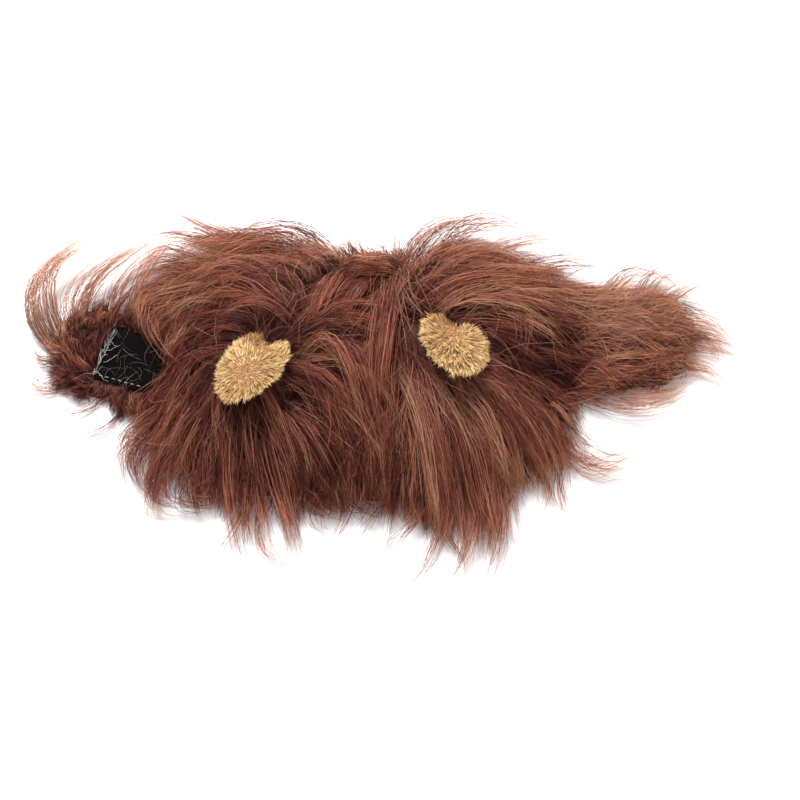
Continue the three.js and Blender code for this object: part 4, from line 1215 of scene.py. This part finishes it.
def finish_nodes(names, material):
    """The frame's own solids get a finish."""
    for name in names:
        for slot in nodes[name].material_slots:
            slot.material = material
    print(*names, "get", material.name)


finish_nodes(("crown_cloth", "hook_strap", "loop_strap"), knit_finish())

# %% [markdown]
# An ear is a plush pad folded at its root. Its body is a copy of the frame's solid, remeshed and
# smoothed so that no facet shows, and shrunk to leave room for the plush that stands on it.

# %% Ear bodies
EAR_MERGE = 0.01 * MM  # corners of the solid that are nearer than this are one
EAR_VOXEL = 1.2 * MM
EAR_SMOOTHING = 6
PLUSH_DEPTH = 2.4 * MM


def ear_body(side):
    """A smooth, slightly shrunk copy of an ear's solid."""
    source = nodes[f"ear_{side}"]
    body = source.copy()
    body.data = source.data.copy()
    body.name = f"ear_{side}_body"
    for link in list(body.users_collection):
        link.objects.unlink(body)
    bpy.context.scene.collection.objects.link(body)
    body.hide_render = False
    bpy.ops.object.select_all(action="DESELECT")
    body.select_set(True)
    bpy.context.view_layer.objects.active = body
    bpy.ops.object.mode_set(mode="EDIT")
    bpy.ops.mesh.select_all(action="SELECT")
    bpy.ops.mesh.remove_doubles(threshold=EAR_MERGE)
    bpy.ops.object.mode_set(mode="OBJECT")
    remesh = body.modifiers.new("even", "REMESH")
    remesh.mode = "VOXEL"
    remesh.voxel_size = EAR_VOXEL
    smooth = body.modifiers.new("soft", "SMOOTH")
    smooth.iterations = EAR_SMOOTHING
    shrink = body.modifiers.new("under_the_plush", "DISPLACE")
    shrink.strength = -PLUSH_DEPTH
    shrink.mid_level = 0
    for modifier in ("even", "soft", "under_the_plush"):
        bpy.ops.object.modifier_apply(modifier=modifier)
    bpy.ops.object.shade_smooth()
    body.select_set(False)
    body.data.materials.clear()
    print(body.name, "faces", len(body.data.polygons))
    return body


# %% [markdown]
# The plush parts at a point of the ear that shows in the photo and is brushed outwards from it, to the
# rim. Each strand leaves its root at a slope and lies down further along its length, and strands lean
# together in tufts. Near the fold, where the ear is sewn on, they are shorter and tan brown.

# %% Ear plush
PLUSH_LENGTH = 6.0 * MM
PLUSH_WIDTH = 0.42 * MM
PLUSH_COUNT = 3050
PLUSH_STEPS = 3
PLUSH_TUFTS = 800  # strands of an ear that the others lean on, a tuft to each
TUFT_HOLD = 0.45
PLUSH_SCATTER = 0.26  # how unevenly strands are brushed
PLUSH_SINK = 0.3 * MM  # of a root below the ear's cloth
PLUSH_LENGTHS = (0.7, 1.05)  # least and most share of PLUSH_LENGTH
ROOT_LEAN, TIP_LEAN = 1.3, 1.7  # outwards for each unit up: from the root, and more by the tip
PARTING_SIZE = 8 * MM  # strands nearer to the parting are shorter
PARTING_HEIGHT = 2 * MM  # over the middle of the ear
PARTING_LENGTH = 0.4  # least share of length there
RIM_SHORTENING = 0.55
FOLD_SHORTENING = 0.3
FOLD_REACH = 0.7  # share of its length at which a strand's distance to the fold is taken
FOLD_FADE = 5.5 * MM  # over which the tan of the fold fades
FOLD_FADES = 2.4  # times FOLD_FADE from the fold, it has gone
PLUSH_SHADE = 0.60
STRAND_SHADE, TUFT_SHADE, WAVE_SHADE = 0.12, 0.07, 0.10  # how much strands, tufts and waves differ
WAVE_SIZE = 3 * MM
EAR_PARTINGS = {"left": (248, 372), "right": (456, 334)}  # pixels where the plush of each ear parts
EAR_FOLDS = {"left": (264, 322), "right": (446, 307)}  # pixels where each ear is folded and sewn on
EAR_TANS = {"left": 0.5, "right": 0.42}  # how much darker the plush is there


def surface_points(mesh, count):
    """Random places on a mesh, with their normals."""
    mesh.calc_loop_triangles()
    corners = np.array([[mesh.vertices[i].co[:] for i in t.vertices] for t in mesh.loop_triangles])
    cross = np.cross(corners[:, 1] - corners[:, 0], corners[:, 2] - corners[:, 0])
    area = np.linalg.norm(cross, axis=1)
    picked = rng.choice(len(corners), count, p=area / area.sum())
    u = rng.uniform(size=(count, 1))
    v = rng.uniform(size=(count, 1))
    u, v = np.where(u + v > 1, 1 - u, u), np.where(u + v > 1, 1 - v, v)
    chosen = corners[picked]
    places = chosen[:, 0] * (1 - u - v) + chosen[:, 1] * u + chosen[:, 2] * v
    return places, cross[picked] / area[picked, None]


def at_height(pixel, height):
    """The place at a height over the table that the camera sees at a pixel."""
    place = place_of([pixel], 0)[0]
    sight = camera_place - place
    return place + sight * (height - place[2]) / sight[2]


def ear_plush(side, body):
    """Strands of plush over an ear's body."""
    roots, normals = surface_points(body.data, PLUSH_COUNT)
    low, high = (np.array(corner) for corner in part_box(f"ear_{side}"))
    parting = at_height(EAR_PARTINGS[side], (low[2] + high[2]) / 2 + PARTING_HEIGHT)
    apart = roots - parting
    distance = np.linalg.norm(apart, axis=1)
    outward = unit(apart)
    outward = unit(outward - (outward * normals).sum(axis=1, keepdims=True) * normals)
    outward += PLUSH_SCATTER * rng.normal(size=outward.shape)
    reach = roots + outward * FOLD_REACH * PLUSH_LENGTH
    to_fold = np.linalg.norm(pixel_of(reach) - EAR_FOLDS[side], axis=1) * PIXEL
    bare = np.clip(FOLD_FADES - to_fold / FOLD_FADE, 0, 1)
    at_rim = np.clip((unit(apart) * normals).sum(axis=1), 0, 1)
    length = PLUSH_LENGTH * rng.uniform(*PLUSH_LENGTHS, len(roots))
    length = length * np.clip(distance / PARTING_SIZE, PARTING_LENGTH, 1)
    length = (length * (1 - FOLD_SHORTENING * bare) * (1 - RIM_SHORTENING * at_rim))[:, None]
    paths = np.zeros((len(roots), PLUSH_STEPS + 1, 3))
    paths[:, 0] = roots - normals * PLUSH_SINK
    for i in range(1, PLUSH_STEPS + 1):
        direction = unit(normals + outward * (ROOT_LEAN + TIP_LEAN * i / PLUSH_STEPS))
        paths[:, i] = paths[:, i - 1] + direction * length / PLUSH_STEPS
    to_tufts = np.linalg.norm(roots[:, None] - roots[None, :PLUSH_TUFTS], axis=2)
    tuft = to_tufts.argmin(axis=1)
    for i in range(1, PLUSH_STEPS + 1):
        paths[:, i] += (paths[tuft, i] - paths[:, i]) * TUFT_HOLD * i / PLUSH_STEPS
    shades = PLUSH_SHADE + STRAND_SHADE * rng.normal(size=len(roots)) - EAR_TANS[side] * bare
    shades += TUFT_SHADE * rng.normal(size=PLUSH_TUFTS)[tuft]
    shades += WAVE_SHADE * waves(roots[:, 0], roots[:, 1], WAVE_SIZE, 2.0)
    width = PLUSH_WIDTH * rng.uniform(*STRAP_WIDTHS, len(roots))
    return hair_mesh(f"ear_{side}_plush", paths, np.clip(shades, 0, 1), width, taper=1.6, blunt=0.35)


plush_shades = [
    (0.0, (0.200, 0.085, 0.032)),
    (0.3, (0.540, 0.288, 0.110)),
    (0.6, (0.900, 0.625, 0.285)),
    (1.0, (0.990, 0.860, 0.540)),
]
# Painted shade at the root, and painted light at the tip.
plush_root_to_tip = [
    (0.0, (0.34, 0.26, 0.19)),
    (0.45, (0.86, 0.81, 0.73)),
    (1.0, (1.20, 1.25, 1.30)),
]
plush_finish = hair_finish(
    "plush_gold_hair", plush_shades, plush_root_to_tip, roughness=0.55, specular=0.35
)
ear_colours = ((0.13, 0.055, 0.021), (0.36, 0.178, 0.066))
ear_cloth = grained_finish(
    "ear_cloth_gold", 0.8 * MM, ear_colours, roughness=0.85, specular=0.5, depth=0.6 * MM
)
for side in ("left", "right"):
    body = ear_body(side)
    add_piece(body, ear_cloth, [f"ear_{side}"])
    add_piece(ear_plush(side, body), plush_finish)

# %% [markdown]
# The hook tape is woven nylon set with rows of small stiff hooks. The frame's solids stay as the weave
# and get a black ribbed finish. The hooks are short bent hairs in rows, which lean to either side and
# a little at random.

# %% Hook tape
HOOK_PITCH = 1.25 * MM
HOOK_HEIGHT = 1.3 * MM
HOOK_WIDTH = 0.22 * MM
HOOK_BENDS = [(0.0, 0.0), (0.05, 0.65), (0.35, 1.0), (0.7, 0.72)]  # shares of the height, out and up
HOOK_SCATTER = 0.12 * MM  # along the tape
HOOK_LEAN = 0.25 * MM  # across it
TAPE_EDGE = 1.2 * MM  # that is free of hooks


def tape_finish(name, dark, light):
    """A dull black finish with ribs along the tape."""
    material, tree, shader = plain_material(name, roughness=0.9, specular=0.02)
    place = tree.nodes.new("ShaderNodeTexCoord")
    turn = tree.nodes.new("ShaderNodeMapping")
    turn.inputs["Rotation"].default_value = (0, 0, -tape_turn)
    wave = tree.nodes.new("ShaderNodeTexWave")
    wave.inputs["Scale"].default_value = WAVE_PERIOD / HOOK_PITCH
    wave.inputs["Distortion"].default_value = 1.0
    tree.links.new(place.outputs["Object"], turn.inputs["Vector"])
    tree.links.new(turn.outputs["Vector"], wave.inputs["Vector"])
    colour = ramp(tree, [(0.0, dark), (1.0, light)], wave.outputs["Fac"])
    tree.links.new(colour, shader.inputs["Base Color"])
    bumped(tree, wave.outputs["Fac"], 0.7, 0.3 * MM)
    return material


tape_black = tape_finish("tape_black", (0.002, 0.002, 0.002), (0.008, 0.007, 0.007))
finish_nodes(("hook_tape", "loop_tape"), tape_black)


def tape_place(along, across, height):
    """Places on the hook tape from distances to its middle."""
    flat = tape_middle + along[:, None] * tape_along + across[:, None] * tape_across
    return np.column_stack([flat, tape_top + height + 0 * along])


def tape_hooks():
    """The hooks on top of the tape, in rows."""
    reach = tape_half - TAPE_EDGE
    columns = np.arange(-reach[0], reach[0], HOOK_PITCH)
    rows = np.arange(-reach[1], reach[1], HOOK_PITCH)
    along, across = (grid.ravel() for grid in np.meshgrid(columns, rows))
    along = along + HOOK_SCATTER * rng.normal(size=along.size)
    side = np.where(rng.uniform(size=along.size) < 0.5, 1, -1)
    lean = HOOK_LEAN * rng.normal(size=along.size)
    bends = [
        tape_place(along + side * out * HOOK_HEIGHT, across + lean * up, up * HOOK_HEIGHT)
        for out, up in HOOK_BENDS
    ]
    shades = rng.uniform(0, 1, along.size)
    return hair_mesh("hook_tape_hooks", np.stack(bends, axis=1), shades, HOOK_WIDTH, blunt=0.7)


hook_shades = [(0.0, (0.002, 0.002, 0.002)), (1.0, (0.020, 0.017, 0.016))]
# Painted light: a hook is lighter towards its tip and darker at its root.
hook_root_to_tip = [(0.0, (0.7, 0.7, 0.7)), (1.0, (1.4, 1.4, 1.4))]
hook_finish = hair_finish(
    "hook_nylon_black", hook_shades, hook_root_to_tip, roughness=0.5, specular=0.06
)
add_piece(tape_hooks(), hook_finish)

# %% [markdown]
# The tape is sewn on with pale thread. Along its lower edge is a neat row of stitches. Each stitch is a
# short thick thread that dives in at both ends.

# %% Stitches
STITCH_LENGTH = 2.1 * MM
STITCH_GAP = 1.0 * MM
STITCH_STEPS = 5
STITCH_EDGE = 1.6 * MM  # from the row to the tape's lower edge
STITCH_WANDER = 0.1 * MM
ROW_START = 2 * MM  # from the tape's outer edge
ROW_END = 6 * MM  # from its inner edge
STITCH_RISE, STITCH_DIVE = 0.9, 0.1  # millimetres: of its arch, and of its ends below the tape
STITCH_LIFT = 0.6 * MM  # of all but its ends, so it clears the hooks
THREAD_WIDTH = 0.32 * MM


def stitches():
    """The row of stitches along the tape's lower edge."""
    pitch = STITCH_LENGTH + STITCH_GAP
    starts = np.arange(-tape_half[0] + ROW_START, tape_half[0] - ROW_END, pitch)
    share = np.linspace(0, 1, STITCH_STEPS + 1)
    paths = []
    for start in starts:
        along = start + STITCH_LENGTH * share
        across = np.full(len(share), -tape_half[1] + STITCH_EDGE) + STITCH_WANDER * rng.normal()
        height = (STITCH_RISE * np.sin(math.pi * share) ** 0.5 - STITCH_DIVE) * MM
        height = height + STITCH_LIFT * (share > 0) * (share < 1)
        paths.append(tape_place(along, across, height))
    return hair_mesh("tape_stitches", np.array(paths), np.full(len(paths), 0.8), THREAD_WIDTH, blunt=0.8)


thread_shades = [(0.0, (0.30, 0.28, 0.27)), (1.0, (0.86, 0.85, 0.83))]
# Painted shade: a thread or fibre is a little darker at its root end.
thread_root_to_tip = [(0.0, (0.9, 0.9, 0.9)), (1.0, (1.0, 1.0, 1.0))]
thread_finish = hair_finish(
    "thread_pale", thread_shades, thread_root_to_tip, roughness=0.5, specular=0.4
)
add_piece(stitches(), thread_finish)

# %% [markdown]
# Along the tape's outer edge the thread is knotted and frayed. Each thread is walked in short steps
# that turn a little at random. Most keep to the edge, and every fourth wanders off over the tape.

# %% Frayed threads
FRAYED_COUNT = 34
FRAYED_STEPS = 10
LOOSE_EVERY = 4
FRAYED_ACROSS = (-1.0, 0.85)  # shares of half of the tape's height
EDGE_SCATTER, LOOSE_SCATTER = 0.5, 1.2  # millimetres from the edge at which threads start
EDGE_TURN, LOOSE_TURN = 0.35, 1.2  # spread of their first direction
STEP_TURN = 0.3
FRAYED_LENGTHS = (5, 11)  # millimetres, least and most
FRAYED_HEIGHT = 1.0 * MM
FRAYED_ARCH = 0.7 * MM
EDGE_PULL = 0.25  # share of its distance to the edge that a thread loses at each step
FRAYED_WIDTH = 0.22 * MM


def frayed_threads():
    """Threads along the tape's outer edge, some of them loose ends that wander off."""
    paths = []
    for index in range(FRAYED_COUNT):
        loose = index % LOOSE_EVERY == 0
        across = rng.uniform(*FRAYED_ACROSS) * tape_half[1]
        along = -tape_half[0] + rng.normal() * (LOOSE_SCATTER if loose else EDGE_SCATTER) * MM
        turn = math.pi / 2 + rng.normal() * (LOOSE_TURN if loose else EDGE_TURN)
        run = rng.uniform(*FRAYED_LENGTHS) * MM / FRAYED_STEPS
        track = []
        for step in range(FRAYED_STEPS + 1):
            arch = math.sin(math.pi * step / FRAYED_STEPS)
            height = FRAYED_HEIGHT + FRAYED_ARCH * arch * rng.uniform(0.6, 1.2)
            track.append((along, across, height))
            turn += rng.normal() * STEP_TURN
            along += math.cos(turn) * run
            across += math.sin(turn) * run
            if not loose:
                along = (1 - EDGE_PULL) * along - EDGE_PULL * tape_half[0]
        paths.append(tape_place(*np.array(track).T))
    shades = rng.uniform(0.1, 0.8, len(paths))
    return hair_mesh("tape_frayed_thread", np.array(paths), shades, FRAYED_WIDTH, blunt=0.5)


add_piece(frayed_threads(), thread_finish)

# %% [markdown]
# A used hook tape always holds some lint. Its thin pale fibres lie over the hooks in any direction, and
# take short steps once they have left the tape, so they end near it.

# %% Lint
LINT_COUNT = 28
LINT_STEPS = 6
LINT_ALONG = (-0.7, 0.9)  # shares of half of the tape
LINT_ACROSS = (-0.8, 0.8)
LINT_BEND = 0.25
LINT_LENGTHS = (7, 15)  # millimetres, least and most
LINT_SHORTER = 0.2  # share of a step that is left of it beside the tape
LINT_HEIGHT, LINT_ARCH = 1.2, 1.2  # millimetres
LINT_WIDTH = 0.12 * MM


def lint():
    """Thin pale fibres that are caught in the hooks."""
    turn = rng.uniform(0, 2 * math.pi, LINT_COUNT)
    along = rng.uniform(*LINT_ALONG, LINT_COUNT) * tape_half[0]
    across = rng.uniform(*LINT_ACROSS, LINT_COUNT) * tape_half[1]
    bend = LINT_BEND * rng.normal(size=LINT_COUNT)
    run = rng.uniform(*LINT_LENGTHS, LINT_COUNT) * MM / LINT_STEPS
    places = []
    for step in range(LINT_STEPS + 1):
        inside = (np.abs(along) < tape_half[0]) & (np.abs(across) < tape_half[1])
        run = np.where(inside, run, run * LINT_SHORTER)
        height = (LINT_HEIGHT + LINT_ARCH * math.sin(math.pi * step / LINT_STEPS)) * MM
        places.append(tape_place(along, across, height))
        along = along + np.cos(turn) * run
        across = across + np.sin(turn) * run
        turn = turn + bend
    shades = rng.uniform(0, 0.5, LINT_COUNT)
    return hair_mesh("tape_lint", np.stack(places, axis=1), shades, LINT_WIDTH, blunt=0.5)


lint_shades = [(0.0, (0.120, 0.075, 0.060)), (1.0, (0.620, 0.560, 0.520))]
lint_finish = hair_finish("lint_pale", lint_shades, thread_root_to_tip, roughness=0.5, specular=0.2)
add_piece(lint(), lint_finish)

# %% [markdown]
# Last come the sizes: how many triangles each piece has.

# %% Sizes and finish
kept = set(nodes.values())
added = [piece for piece in bpy.context.scene.objects if piece.type == "MESH" and piece not in kept]
triangles = {piece.name: sum(len(face.vertices) - 2 for face in piece.data.polygons) for piece in added}
print("triangles", triangles, "in all", sum(triangles.values()))
